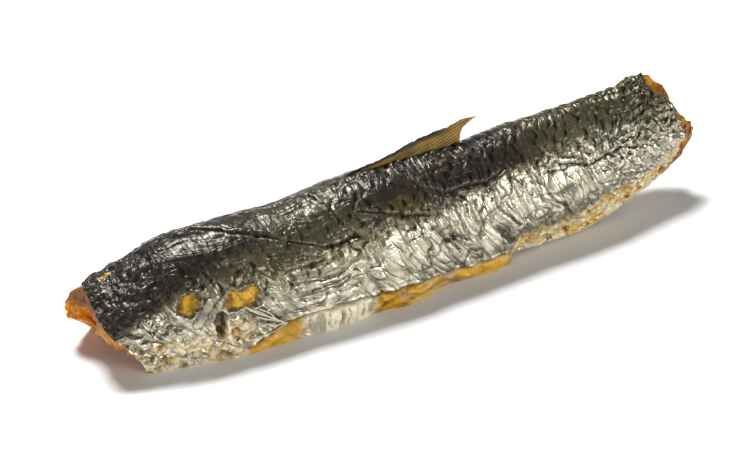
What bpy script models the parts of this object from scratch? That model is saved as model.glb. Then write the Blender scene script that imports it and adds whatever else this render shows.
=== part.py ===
"""Smoked herring fillet in one piece, its skin on.

The fish is headless and tailless, gutted and opened along the belly. It stands on its two belly edges
like a low tent: the back on top, the flanks sloping down, the belly cavity open below as far as the
vent, and the part behind the vent closed and leaning. The dorsal fin lies folded back on the ridge.

X runs from the head cut to the tail cut, the flank that shows best faces -Y, and Z is up. A place on
the skin is given by its X and by its share of the way round: -1 at the near belly edge, 0 at the
ridge and 1 at the far belly edge.
"""

import math

import bmesh
import bpy
import numpy as np

MM = 0.001

# Every length below is in millimetres; main() brings the mesh to metres.
# The guide lines run from the head to the tail. Each point is (X, Y, Z).
RIDGE = (
    (-20, 4.5, 16.6), (-10, 3.0, 19.2), (0, 2.0, 22.9), (12, 0.8, 27.9), (30, 0.0, 29.1), (40, 0.0, 28.8),
    (50, 0.0, 30.2), (66, 0.5, 32.2), (82, 1.2, 32.0), (97, 2.4, 32.0), (112, 3.7, 34.0), (130, 5.5, 34.2),
    (148, 7.8, 34.3), (158, 8.9, 36.0), (168, 10.0, 34.0), (180, 11.0, 31.0),
)
NEAR_WAIST = (
    (-20, -8.5, 7.5), (-10, -11.5, 7.5), (0, -13.6, 8.0), (12, -15.4, 9.0), (30, -16.4, 9.0),
    (60, -16.6, 9.0), (90, -14.8, 10.0), (110, -13.0, 15.0), (121, -11.2, 19.5), (130, -10.2, 20.5),
    (148, -6.2, 22.5), (165, -2.0, 25.0), (180, 1.5, 27.0),
)
NEAR_RIM = (
    (-20, -8.0, 0.0), (0, -12.0, 0.0), (12, -14.4, 0.0), (24, -16.2, 0.0), (39, -16.2, 0.0),
    (49, -17.1, 0.0), (63, -15.6, 0.0), (70, -16.4, 0.0), (84, -13.0, 0.0), (98, -13.4, 0.0),
    (103.5, -12.0, 0.0), (106.5, -9.4, 1.6), (116, -8.9, 0.8), (130, -8.0, 0.5), (140, -6.6, 2.2),
    (149, -5.0, 4.2), (157, -3.9, 6.8), (169, -2.0, 12.2), (180, 0.0, 17.5),
)
FAR_WAIST = (
    (-20, 8.5, 12.5), (-14, 10.2, 12.5), (-5, 13.2, 9.5), (12, 15.0, 9.0), (30, 15.6, 9.0), (60, 16.0, 9.0),
    (90, 15.6, 9.5), (110, 13.0, 10.0), (121, 11.5, 11.5), (130, 10.8, 12.8), (148, 11.2, 15.5),
    (165, 11.0, 19.0), (180, 11.0, 22.0),
)
FAR_RIM = (
    (-20, 9.5, 9.5), (-14, 10.8, 8.0), (-10, 12.0, 5.0), (-5, 13.8, 0.0), (12, 15.0, 0.0), (30, 15.6, 0.0),
    (60, 15.2, 0.0), (80, 12.0, 0.0), (98, 1.5, 0.0), (107.5, -7.4, 1.2), (116, -7.3, 0.8),
    (130, -6.4, 0.5), (140, -5.0, 2.2), (149, -3.4, 4.2), (157, -2.3, 6.8), (169, -0.4, 12.2),
    (180, 1.6, 17.5),
)
# The lean of the section away from the viewer's side, as (X, degrees).
LEAN = ((-20, 0.0), (85, 0.0), (100, 8.0), (112, 18.0), (121, 24.0), (148, 27.0), (180, 27.0))

# The belly cavity: (X, height of its ceiling, thickness of the wall at the waist, at the rim).
CAVITY = (
    (-20, 9.0, 6.5, 2.0), (-8, 11.5, 6.5, 2.0), (5, 15.5, 6.5, 2.0), (30, 17.5, 6.5, 2.0),
    (60, 18.0, 7.0, 2.0), (85, 13.0, 8.0, 2.0), (100, 6.0, 9.0, 2.0), (112, 1.2, 2.0, 0.6),
    (180, 1.2, 2.0, 0.6),
)

CAVITY_WAIST_LEVEL = 0.35  # how high the waist of the cavity lies, as a share of its ceiling
WAIST_WALL_MOST, RIM_WALL_MOST = 0.6, 0.4  # the thickest walls, as shares of half the gap between the rims
CAVITY_INSET = 0.5  # how far the cavity's edge stays inside the cuts

# The cuts: (share of the way round, X).
HEAD_CUT = (
    (-1.0, 0.0), (-0.72, -3.2), (-0.56, -6.8), (-0.4, -8.6), (-0.1, -9.2), (0.15, -9.8), (0.4, -11.2),
    (0.7, -13.0), (1.0, -13.2),
)
TAIL_CUT = (
    (-1.0, 168.0), (-0.9, 171.5), (-0.84, 172.5), (-0.7, 171.0), (-0.47, 166.3), (-0.28, 164.2),
    (-0.16, 163.0), (-0.05, 160.8), (0.1, 160.2), (0.4, 163.0), (0.8, 170.0), (1.0, 168.0),
)
# Where the narrow strip of the cavity ends at the tail, so that the meat fills the cut.
CAVITY_TAIL_CUT = ((-1.0, 168.0), (-0.9, 168.6), (0.9, 168.6), (1.0, 168.0))
CUT_BULGE = 1.2
FULL_BULGE_THICKNESS = 8.0  # meat this thick bulges the whole way, thinner meat less

ROWS = 84
SKIN_COLUMNS = 36
CAVITY_COLUMNS = 18
FIRST_X, LAST_X = -20.0, 180.0
QUARTER_ARC = 0.5523  # handle of a cubic curve that follows a quarter of an ellipse
RIM_HANDLE = 0.35  # the same where the flank meets the rim, which it does a little more sharply
UPPER_POINTS, LOWER_POINTS, SECTION_POINTS = 40, 16, 41
FLANK = 38.0  # the way from the ridge to a belly edge, which turns a share into millimetres

# Folds of the skin: depth, half width, and the places (X, share) that the fold runs through.
FOLDS = (
    (0.9, 1.3, ((14.5, 0.155), (26.8, -0.095), (38.8, -0.255), (48.2, -0.385), (57.8, -0.4))),
    (0.6, 1.1, ((49.5, 0.02), (54.8, -0.3))),
    (0.6, 1.1, ((59.8, -0.25), (71.2, -0.363), (78.2, -0.41))),
    (0.6, 1.1, ((78.2, -0.223), (84.8, -0.308), (98.0, -0.32), (103.2, -0.293))),
    (0.7, 1.1, ((98.0, -0.333), (99.5, -0.52), (105.8, -0.693))),
    (0.6, 1.1, ((112.8, -0.413), (114.0, -0.565), (119.0, -0.68))),
    (0.6, 1.1, ((120.8, -0.388), (129.0, -0.453), (142.5, -0.445))),
    (0.6, 1.1, ((128.8, -0.463), (133.0, -0.698))),
    (0.6, 1.1, ((78.0, -0.473), (85.8, -0.698))),
    (0.8, 1.2, ((34.8, -0.82), (53.0, -0.828), (76.8, -0.863), (101.0, -0.885))),
    (0.7, 1.3, ((10.0, 0.3), (30.0, 0.4), (52.0, 0.36), (70.0, 0.5))),
    (0.6, 1.2, ((70.0, 0.7), (90.0, 0.62), (112.0, 0.7), (134.0, 0.6))),
)
# Bumps and, where the height is negative, pits: height, X, share, half length, half width.
BUMPS = (
    (-2.6, 17.4, -0.69, 2.2, 3.2), (-0.5, 12.0, -0.46, 4.0, 4.5), (-0.5, 24.0, -0.55, 5.0, 3.0),
    (0.9, 24.0, -0.74, 2.2, 2.4), (0.8, 13.6, -0.6, 2.0, 3.6), (-0.6, 21.5, -0.83, 2.5, 1.6),
)
# The belly edges: a lip that stands proud below the lowest fold.
LIP_SHARE = 0.9
LIP_BAND = 0.03
LIP_HEIGHT = 0.7
# The broad wrinkles: their height, their length, their slant, and how they fade in and out.
WRINKLE_HEIGHT = 0.28
WRINKLE_LENGTH = 6.5
WRINKLE_SLANT = 0.3
WRINKLE_FADE_AROUND, WRINKLE_FADE_ALONG = 4.0, 9.0

# The dorsal fin, folded back: its base on the ridge, its height and how far its tip trails.
FIN_START, FIN_END = 61.0, 97.0
FIN_HEIGHT = 6.7
FIN_TRAIL = 2.0
FIN_SIDE = 2.2  # how far past the ridge the fin stands
FIN_DROP = 0.6  # how far the skin there lies below the ridge
FIN_ROOT = 2.5
FIN_THICKNESS = 1.1
FIN_ARCH = 1.25  # how soon the fin reaches its height
FIN_RIB = 0.3  # how much thicker and thinner it is at a ray and beside it
FIN_TAPER = 0.45  # how much thinner its top edge is
FIN_STEPS, FIN_LEVELS = 22, 5

# What is left of the fin behind the head, pressed flat: a fan that ends in a point.
SMALL_FIN_TIP = (35.0, -0.845)
SMALL_FIN_BASE_X = 25.5
SMALL_FIN_SHARES = (-0.64, -0.79)
SMALL_FIN_HEIGHT = 0.8
SMALL_FIN_SINK = 1.6
SMALL_FIN_REACH = 0.93  # where it stops short of the point
SMALL_FIN_STEPS, SMALL_FIN_RAYS = 6, 4

# The middle of the finished fish, which main() moves over the origin.
MIDDLE = (79.6, -0.66)


def smooth_step(value, start, end):
    """0 before start, 1 after end, and an even S between."""
    share = np.clip((value - start) / (end - start), 0.0, 1.0)
    return share * share * (3.0 - 2.0 * share)


def guide(points, column, x):
    """A guide line's column at x, on a smooth curve through its points that never overshoots them."""
    points = np.array(points, float)
    places, values = points[:, 0], points[:, column]
    gaps = np.diff(places)
    climbs = np.diff(values) / gaps
    product = climbs[:-1] * climbs[1:]
    total = climbs[:-1] + climbs[1:]
    inner = np.where(product > 0, 2 * product / np.where(total == 0, 1, total), 0)
    slopes = np.concatenate([climbs[:1], inner, climbs[-1:]])
    x = np.clip(x, places[0], places[-1])
    i = np.clip(np.searchsorted(places, x, side="right") - 1, 0, len(places) - 2)
    t = (x - places[i]) / gaps[i]
    return (
        values[i] * (1 + 2 * t) * (1 - t) ** 2
        + values[i + 1] * t**2 * (3 - 2 * t)
        + gaps[i] * slopes[i] * t * (1 - t) ** 2
        - gaps[i] * slopes[i + 1] * t**2 * (1 - t)
    )


def guide_point(points, x):
    """(Y, Z) of a guide line at each x."""
    return np.stack([guide(points, 1, x), guide(points, 2, x)], axis=-1)


def cubic(start, start_handle, end_handle, end, count):
    """Points on a cubic curve for each station; the arguments but count are arrays of (Y, Z)."""
    t = np.linspace(0, 1, count)[:, None, None]
    first_half = (1 - t) ** 3 * start + 3 * t * (1 - t) ** 2 * start_handle
    return first_half + 3 * t**2 * (1 - t) * end_handle + t**3 * end


def even_points(line, count):
    """The same curve with evenly spaced points; line is (points, stations, 2)."""
    steps = np.linalg.norm(np.diff(line, axis=0), axis=2)
    run = np.concatenate([np.zeros((1, line.shape[1])), np.cumsum(steps, axis=0)])
    shares = np.linspace(0, 1, count)
    even = np.empty((count, line.shape[1], 2))
    for station in range(line.shape[1]):
        wanted = shares * run[-1, station]
        for axis in range(2):
            even[:, station, axis] = np.interp(wanted, run[:, station], line[:, station, axis])
    return even


def flank(ridge, waist, rim, lean):
    """One side's section at every station, from the ridge over the waist to the rim."""
    up = np.stack([np.sin(lean), np.cos(lean)], axis=-1)
    side = np.stack([np.cos(lean), -np.sin(lean)], axis=-1)
    across = side * np.sum((waist - ridge) * side, axis=-1, keepdims=True)
    rise = up * np.sum((ridge - waist) * up, axis=-1, keepdims=True)
    drop = up * np.sum((waist - rim) * up, axis=-1, keepdims=True)
    upper = cubic(ridge, ridge + across * QUARTER_ARC, waist + rise * QUARTER_ARC, waist, UPPER_POINTS)
    lower = cubic(waist, waist - drop * QUARTER_ARC, rim + drop * RIM_HANDLE, rim, LOWER_POINTS)
    return even_points(np.concatenate([upper, lower[1:]]), SECTION_POINTS)


class Surface:
    """A surface over X and the share of the way round, from one section a millimetre."""

    def __init__(self, x, near, far):
        self.x = x
        self.share = np.linspace(-1, 1, 2 * len(near) - 1)
        self.grid = np.concatenate([near[::-1], far[1:]])

    def at(self, x, share):
        """Points (X, Y, Z) of the surface; x and share are arrays of one shape."""
        row = np.interp(share, self.share, np.arange(len(self.share)))
        column = np.interp(x, self.x, np.arange(len(self.x)))
        i = np.clip(row.astype(int), 0, len(self.share) - 2)
        j = np.clip(column.astype(int), 0, len(self.x) - 2)
        a, b = (row - i)[..., None], (column - j)[..., None]
        near_row = self.grid[i, j] * (1 - b) + self.grid[i, j + 1] * b
        far_row = self.grid[i + 1, j] * (1 - b) + self.grid[i + 1, j + 1] * b
        return np.concatenate([np.asarray(x)[..., None], near_row * (1 - a) + far_row * a], axis=-1)


def skin_surface():
    """The fish's outer skin."""
    x = np.arange(FIRST_X, LAST_X + 1)
    ridge = guide_point(RIDGE, x)
    lean = np.radians(guide(LEAN, 1, x))
    near = flank(ridge, guide_point(NEAR_WAIST, x), guide_point(NEAR_RIM, x), lean)
    far = flank(ridge, guide_point(FAR_WAIST, x), guide_point(FAR_RIM, x), lean)
    return Surface(x, near, far)


def cavity_surface():
    """The wall of the belly cavity, which closes to a narrow strip behind the vent."""
    x = np.arange(FIRST_X, LAST_X + 1)
    ceiling, waist_wall, rim_wall = (guide(CAVITY, column, x) for column in (1, 2, 3))
    near_rim, far_rim = guide_point(NEAR_RIM, x), guide_point(FAR_RIM, x)
    floor = (near_rim + far_rim) / 2
    top = floor + np.stack([0 * x, ceiling], axis=-1)
    half = (far_rim - near_rim)[:, 0] / 2
    sides = []
    for rim, sign in ((near_rim, 1), (far_rim, -1)):
        inner_rim = rim + np.stack([sign * np.minimum(rim_wall, RIM_WALL_MOST * half), 0 * x], axis=-1)
        waist_y = rim[:, 0] + sign * np.minimum(waist_wall, WAIST_WALL_MOST * half)
        waist = np.stack([waist_y, rim[:, 1] + CAVITY_WAIST_LEVEL * ceiling], axis=-1)
        sides.append(flank(top, waist, inner_rim, 0 * x))
    return Surface(x, *sides)


def cut_x(cut, share):
    """X of a cut at each share of the way round."""
    return guide(cut, 1, share)


def rows_between_cuts(surface, columns, tail_cut, inset=0.0):
    """A grid over a surface, from the head cut to the tail cut: its X, its shares and its points."""
    share = np.linspace(-1, 1, columns + 1)
    start, end = cut_x(HEAD_CUT, share) + inset, cut_x(tail_cut, share) - inset
    along = np.linspace(0, 1, ROWS + 1)[:, None]
    x = start + (end - start) * along
    share = np.broadcast_to(share, x.shape)
    return x, share, surface.at(x, share)


def distance_to_path(x, around, path):
    """How far each skin place is from a path, in millimetres along the skin."""
    nearest = np.full(np.shape(x), 1e9)
    for (x0, share0), (x1, share1) in zip(path[:-1], path[1:]):
        start = np.array([x0, share0 * FLANK])
        step = np.array([x1, share1 * FLANK]) - start
        along = np.clip(((x - start[0]) * step[0] + (around - start[1]) * step[1]) / (step @ step), 0, 1)
        gap = np.hypot(x - start[0] - along * step[0], around - start[1] - along * step[1])
        nearest = np.minimum(nearest, gap)
    return nearest


def skin_height(x, share):
    """How far the skin stands out at each place: folds, bumps, wrinkles and the lips of the belly."""
    around = share * FLANK
    wave = np.sin(2 * math.pi * (x + WRINKLE_SLANT * around) / WRINKLE_LENGTH)
    height = WRINKLE_HEIGHT * wave * np.sin(around / WRINKLE_FADE_AROUND + x / WRINKLE_FADE_ALONG)
    for depth, width, path in FOLDS:
        height = height - depth * np.exp(-((distance_to_path(x, around, path) / width) ** 2))
    for bump, middle_x, middle_share, half_length, half_width in BUMPS:
        reach = ((x - middle_x) / half_length) ** 2 + ((around - middle_share * FLANK) / half_width) ** 2
        height = height + bump * np.exp(-reach)
    return height + LIP_HEIGHT * smooth_step(np.abs(share), LIP_SHARE - LIP_BAND, LIP_SHARE + LIP_BAND)


def outward(points):
    """The unit vectors that point out of a grid of skin points, square to X."""
    across = np.gradient(points[..., 1:], axis=1)
    normal = np.stack([0 * across[..., 0], -across[..., 1], across[..., 0]], axis=-1)
    return normal / np.linalg.norm(normal, axis=-1, keepdims=True)


def body_mesh():
    """The fish without its fins, as a closed bmesh."""
    x, share, skin = rows_between_cuts(skin_surface(), SKIN_COLUMNS, TAIL_CUT)
    skin = skin + outward(skin) * skin_height(x, share)[..., None]
    cavity = rows_between_cuts(cavity_surface(), CAVITY_COLUMNS, CAVITY_TAIL_CUT, CAVITY_INSET)[2]
    skin[..., 2] = np.maximum(skin[..., 2], 0.0)
    cavity[..., 2] = np.maximum(cavity[..., 2], 0.0)
    mesh = bmesh.new()
    outer = [[mesh.verts.new(point) for point in row] for row in skin]
    inner = [[mesh.verts.new(point) for point in row] for row in cavity]
    for i in range(ROWS):
        for j in range(SKIN_COLUMNS):
            mesh.faces.new((outer[i][j], outer[i + 1][j], outer[i + 1][j + 1], outer[i][j + 1]))
        for j in range(CAVITY_COLUMNS):
            mesh.faces.new((inner[i][j], inner[i][j + 1], inner[i + 1][j + 1], inner[i + 1][j]))
        mesh.faces.new((outer[i][0], inner[i][0], inner[i + 1][0], outer[i + 1][0]))
        mesh.faces.new((outer[i][-1], outer[i + 1][-1], inner[i + 1][-1], inner[i][-1]))
    for row, side in ((0, -1), (ROWS, 1)):
        close_cut(mesh, outer[row], inner[row], side)
    return mesh


def close_cut(mesh, outer, inner, side):
    """The cut face between the skin's edge and the cavity's edge, its meat bulging out a little."""

    def add_face(*vertices):
        """Adds a face that looks out of the cut."""
        mesh.faces.new(vertices if side < 0 else vertices[::-1])

    ring = []
    for j, vertex in enumerate(outer):
        across = inner[j // 2].co if j % 2 == 0 else (inner[j // 2].co + inner[j // 2 + 1].co) / 2
        point = (vertex.co + across) / 2
        thickness = (across - vertex.co).length
        point.x += side * CUT_BULGE * min(thickness / FULL_BULGE_THICKNESS, 1.0)
        ring.append(mesh.verts.new(point))
    for j in range(SKIN_COLUMNS):
        add_face(outer[j], outer[j + 1], ring[j + 1], ring[j])
    for j in range(CAVITY_COLUMNS):
        first, middle, last = ring[2 * j], ring[2 * j + 1], ring[2 * j + 2]
        add_face(first, middle, inner[j])
        add_face(middle, inner[j + 1], inner[j])
        add_face(middle, last, inner[j + 1])
    add_face(outer[0], ring[0], inner[0])
    add_face(ring[-1], outer[-1], inner[-1])


def closed_plate(front, back):
    """A closed bmesh between two grids of points; front faces -Y where its columns rise."""
    mesh = bmesh.new()
    rows, columns = len(front), len(front[0])
    near = [[mesh.verts.new(point) for point in row] for row in front]
    far = [[mesh.verts.new(point) for point in row] for row in back]
    for i in range(rows - 1):
        for j in range(columns - 1):
            mesh.faces.new((near[i][j], near[i + 1][j], near[i + 1][j + 1], near[i][j + 1]))
            mesh.faces.new((far[i][j], far[i][j + 1], far[i + 1][j + 1], far[i + 1][j]))
        mesh.faces.new((near[i][0], far[i][0], far[i + 1][0], near[i + 1][0]))
        mesh.faces.new((near[i][-1], near[i + 1][-1], far[i + 1][-1], far[i][-1]))
    for j in range(columns - 1):
        mesh.faces.new((near[0][j], near[0][j + 1], far[0][j + 1], far[0][j]))
        mesh.faces.new((near[-1][j], far[-1][j], far[-1][j + 1], near[-1][j + 1]))
    return mesh


def dorsal_fin():
    """The fin on the ridge: a thin plate, ribbed by its rays, that rises towards its trailing tip."""
    along = np.linspace(0, 1, FIN_STEPS + 1)[:, None]
    level = np.linspace(0, 1, FIN_LEVELS + 1)[None, :]
    x = FIN_START + (FIN_END - FIN_START) * along + FIN_TRAIL * along * level**2
    ridge_y, ridge_z = guide(RIDGE, 1, x), guide(RIDGE, 2, x)
    height = FIN_HEIGHT * (1 - (1 - along) ** FIN_ARCH)
    z = ridge_z - FIN_DROP - FIN_ROOT * (1 - level) + height * level
    y = ridge_y + FIN_SIDE + 0 * level
    ribs = 1 + FIN_RIB * np.cos(math.pi * np.arange(FIN_STEPS + 1))[:, None]
    half = FIN_THICKNESS / 2 * ribs * (1 - FIN_TAPER * level)
    return closed_plate(np.stack([x, y - half, z], axis=-1), np.stack([x, y + half, z], axis=-1))


def small_fin():
    """The flattened fin behind the head, its rays running together to a point."""
    along = np.linspace(0, SMALL_FIN_REACH, SMALL_FIN_STEPS + 1)[:, None]
    ray = np.linspace(0, 1, SMALL_FIN_RAYS + 1)[None, :]
    tip_x, tip_share = SMALL_FIN_TIP
    top, bottom = SMALL_FIN_SHARES
    share = (bottom + (top - bottom) * ray) * (1 - along) + tip_share * along
    x = SMALL_FIN_BASE_X + (tip_x - SMALL_FIN_BASE_X) * along + 0 * ray
    skin = skin_surface().at(x, share)
    out = outward(skin)
    return closed_plate(skin + out * SMALL_FIN_HEIGHT, skin - out * SMALL_FIN_SINK)


def add_object(name, mesh, collection):
    """A mesh in millimetres, as an object of the scene in metres with its middle over the origin."""
    bmesh.ops.translate(mesh, vec=(-MIDDLE[0], -MIDDLE[1], 0), verts=mesh.verts)
    bmesh.ops.scale(mesh, vec=(MM, MM, MM), verts=mesh.verts)
    bmesh.ops.triangulate(mesh, faces=mesh.faces)
    data = bpy.data.meshes.new(name)
    mesh.to_mesh(data)
    mesh.free()
    thing = bpy.data.objects.new(name, data)
    collection.objects.link(thing)
    return thing


def skin_material():
    """Oily smoked skin."""
    material = bpy.data.materials.new("smoked_skin")
    material.use_nodes = True
    shader = material.node_tree.nodes["Principled BSDF"]
    shader.inputs["Base Color"].default_value = (0.22, 0.2, 0.16, 1)
    shader.inputs["Metallic"].default_value = 0.4
    shader.inputs["Roughness"].default_value = 0.35
    return material


def join_by_union(body, collection):
    """Fuses the objects of a collection with the body, and removes them."""
    union = body.modifiers.new("fins", "BOOLEAN")
    union.operation = "UNION"
    union.operand_type = "COLLECTION"
    union.collection = collection
    union.solver = "MANIFOLD"
    evaluated = body.evaluated_get(bpy.context.evaluated_depsgraph_get())
    fused = bpy.data.meshes.new_from_object(evaluated)
    body.modifiers.clear()
    body.data = fused
    for piece in list(collection.objects):
        bpy.data.objects.remove(piece)
    bpy.data.collections.remove(collection)


def main():
    """Clears the scene and builds the fish."""
    for old in list(bpy.data.objects):
        bpy.data.objects.remove(old)
    scene_root = bpy.context.scene.collection
    body = add_object("herring_fillet", body_mesh(), scene_root)
    fins = bpy.data.collections.new("fins")
    scene_root.children.link(fins)
    add_object("dorsal_fin", dorsal_fin(), fins)
    add_object("small_fin", small_fin(), fins)
    join_by_union(body, fins)
    body.data.name = "herring_fillet"
    body.data.materials.clear()
    body.data.materials.append(skin_material())
    body.data.shade_smooth()


main()
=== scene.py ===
"""Dresses the smoked herring fillet: its wrinkled skin, its meat, its fins and its belly edges.

Lengths are in millimetres in the fish's own frame, as in the part: X runs from the head cut to the tail
cut, the flank that shows best faces -Y, and Z is up. A place on the skin is given by its X and by its
share of the way round: -1 at the near belly edge, 0 at the ridge and 1 at the far belly edge. in_metres()
brings points to the frame's metres.
"""

import logging
import math
from collections.abc import Callable
from dataclasses import dataclass
from enum import Enum
from functools import reduce

import bpy
import numpy as np
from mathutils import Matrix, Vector


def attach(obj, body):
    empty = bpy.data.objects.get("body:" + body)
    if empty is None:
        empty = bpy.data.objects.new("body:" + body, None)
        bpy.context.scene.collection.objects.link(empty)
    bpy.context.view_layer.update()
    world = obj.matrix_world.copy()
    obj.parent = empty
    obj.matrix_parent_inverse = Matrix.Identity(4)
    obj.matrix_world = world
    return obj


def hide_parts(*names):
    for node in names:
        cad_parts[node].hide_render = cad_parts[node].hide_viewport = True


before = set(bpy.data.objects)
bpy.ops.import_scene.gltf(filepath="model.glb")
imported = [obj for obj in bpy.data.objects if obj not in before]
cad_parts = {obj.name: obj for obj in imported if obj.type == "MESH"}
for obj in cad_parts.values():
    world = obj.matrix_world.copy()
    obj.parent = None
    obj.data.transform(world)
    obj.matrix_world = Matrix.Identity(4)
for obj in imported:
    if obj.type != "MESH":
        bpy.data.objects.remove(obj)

LOG = logging.getLogger("smoked_herring")
NODE = "herring_fillet"
BODY = "root"
MM = 0.001
MIDDLE = (79.6, -0.66)  # the middle of the finished fish, which lies over the frame's origin

Colour = tuple[float, float, float]
Place = tuple[float, float, float]
Socket = bpy.types.NodeSocket

# The guide lines of the form, the same as the part's. Each point is (X, Y, Z).
RIDGE = (
    (-20, 4.5, 16.6), (-10, 3.0, 19.2), (0, 2.0, 22.9), (12, 0.8, 27.9), (30, 0.0, 29.1), (40, 0.0, 28.8),
    (50, 0.0, 30.2), (66, 0.5, 32.2), (82, 1.2, 32.0), (97, 2.4, 32.0), (112, 3.7, 34.0), (130, 5.5, 34.2),
    (148, 7.8, 34.3), (158, 8.9, 36.0), (168, 10.0, 34.0), (180, 11.0, 31.0),
)
NEAR_WAIST = (
    (-20, -8.5, 7.5), (-10, -11.5, 7.5), (0, -13.6, 8.0), (12, -15.4, 9.0), (30, -16.4, 9.0),
    (60, -16.6, 9.0), (90, -14.8, 10.0), (110, -13.0, 15.0), (121, -11.2, 19.5), (130, -10.2, 20.5),
    (148, -6.2, 22.5), (165, -2.0, 25.0), (180, 1.5, 27.0),
)
NEAR_RIM = (
    (-20, -8.0, 0.0), (0, -12.0, 0.0), (12, -14.4, 0.0), (24, -16.2, 0.0), (39, -16.2, 0.0),
    (49, -17.1, 0.0), (63, -15.6, 0.0), (70, -16.4, 0.0), (84, -13.0, 0.0), (98, -13.4, 0.0),
    (103.5, -12.0, 0.0), (106.5, -9.4, 1.6), (116, -8.9, 0.8), (130, -8.0, 0.5), (140, -6.6, 2.2),
    (149, -5.0, 4.2), (157, -3.9, 6.8), (169, -2.0, 12.2), (180, 0.0, 17.5),
)
FAR_WAIST = (
    (-20, 8.5, 12.5), (-14, 10.2, 12.5), (-5, 13.2, 9.5), (12, 15.0, 9.0), (30, 15.6, 9.0), (60, 16.0, 9.0),
    (90, 15.6, 9.5), (110, 13.0, 10.0), (121, 11.5, 11.5), (130, 10.8, 12.8), (148, 11.2, 15.5),
    (165, 11.0, 19.0), (180, 11.0, 22.0),
)
FAR_RIM = (
    (-20, 9.5, 9.5), (-14, 10.8, 8.0), (-10, 12.0, 5.0), (-5, 13.8, 0.0), (12, 15.0, 0.0), (30, 15.6, 0.0),
    (60, 15.2, 0.0), (80, 12.0, 0.0), (98, 1.5, 0.0), (107.5, -7.4, 1.2), (116, -7.3, 0.8), (130, -6.4, 0.5),
    (140, -5.0, 2.2), (149, -3.4, 4.2), (157, -2.3, 6.8), (169, -0.4, 12.2), (180, 1.6, 17.5),
)
LEAN = ((-20, 0.0), (85, 0.0), (100, 8.0), (112, 18.0), (121, 24.0), (148, 27.0), (180, 27.0))
CAVITY = (
    (-20, 9.0, 6.5, 2.0), (-8, 11.5, 6.5, 2.0), (5, 15.5, 6.5, 2.0), (30, 17.5, 6.5, 2.0),
    (60, 18.0, 7.0, 2.0), (85, 13.0, 8.0, 2.0), (100, 6.0, 9.0, 2.0), (112, 1.2, 2.0, 0.6),
    (180, 1.2, 2.0, 0.6),
)
HEAD_CUT = (
    (-1.0, 0.0), (-0.72, -3.2), (-0.56, -6.8), (-0.4, -8.6), (-0.1, -9.2), (0.15, -9.8), (0.4, -11.2),
    (0.7, -13.0), (1.0, -13.2),
)
TAIL_CUT = (
    (-1.0, 168.0), (-0.9, 171.5), (-0.84, 172.5), (-0.7, 171.0), (-0.47, 166.3), (-0.28, 164.2),
    (-0.16, 163.0), (-0.05, 160.8), (0.1, 160.2), (0.4, 163.0), (0.8, 170.0), (1.0, 168.0),
)
# Where the narrow strip of the cavity ends at the tail, so that the meat fills the cut.
CAVITY_TAIL_CUT = ((-1.0, 168.0), (-0.9, 168.6), (0.9, 168.6), (1.0, 168.0))
QUARTER_ARC = 0.5523
FLANK = 38.0  # the way from the ridge to a belly edge, which turns a share into millimetres
FIRST_X, LAST_X = -20.0, 180.0

# Where the dark back ends and the silver flank starts, on either side: (X, share of the way down).
BACK_EDGE = (
    (-14, 0.62), (-5, 0.58), (1, 0.50), (12, 0.46), (28, 0.48), (41, 0.47), (54.8, 0.44), (69.2, 0.41),
    (84.8, 0.37), (101, 0.34), (117.5, 0.36), (134.8, 0.36), (154.5, 0.40), (174, 0.44),
)
# How many millimetres wide the change is: (X, width).
BACK_FADE = (
    (-14, 3.0), (6, 3.0), (18, 9.0), (34, 15.0), (52, 13.0), (66, 4.0), (108, 3.0), (124, 8.0), (150, 12.0),
    (174, 12.0),
)
# How dark the back is: (X, share).
BACK_STRENGTH = (
    (-14, 0.95), (12, 0.95), (30, 0.9), (50, 0.78), (66, 0.95), (104, 0.98), (116, 0.7), (135, 0.6),
    (174, 0.58),
)
# How far the skin stops short of the cuts, which leaves the meat bare: (share, millimetres).
HEAD_BARE = (
    (-1.0, -0.3), (-0.6, -0.9), (-0.1, -0.6), (0.15, 0.4), (0.3, 2.4), (0.45, 3.6), (0.7, 3.0), (1.0, 2.0),
)
TAIL_BARE = (
    (-1.0, 5.0), (-0.93, 4.0), (-0.87, 2.6), (-0.66, 3.8), (-0.575, 2.8), (-0.475, 2.2), (-0.41, 0.6),
    (-0.34, 0.8), (-0.3, 2.2), (-0.22, 4.6), (-0.15, 5.0), (-0.03, 2.0), (0.1, 1.5), (0.4, 2.0), (0.7, 4.0),
    (1.0, 4.0),
)
# The line under which the belly edge shows as a lip of its own.
LIP_LINE = (
    (17, 1.04), (20, 0.985), (26, 0.955), (30, 0.90), (34.8, 0.838), (44.5, 0.818), (53, 0.828),
    (67.5, 0.855), (76.8, 0.863), (86.5, 0.875), (94.5, 0.88), (101, 0.885), (106, 0.96), (110, 1.04),
)


class Flank(Enum):
    """The two sides of the fish, by the way that Y runs there."""

    NEAR = -1
    FAR = 1


@dataclass(frozen=True)
class Fold:
    """A long crease of the skin: how deep and wide it is, and the places (X, share) that it runs through."""

    depth: float
    width: float
    path: tuple[tuple[float, float], ...]


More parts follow.
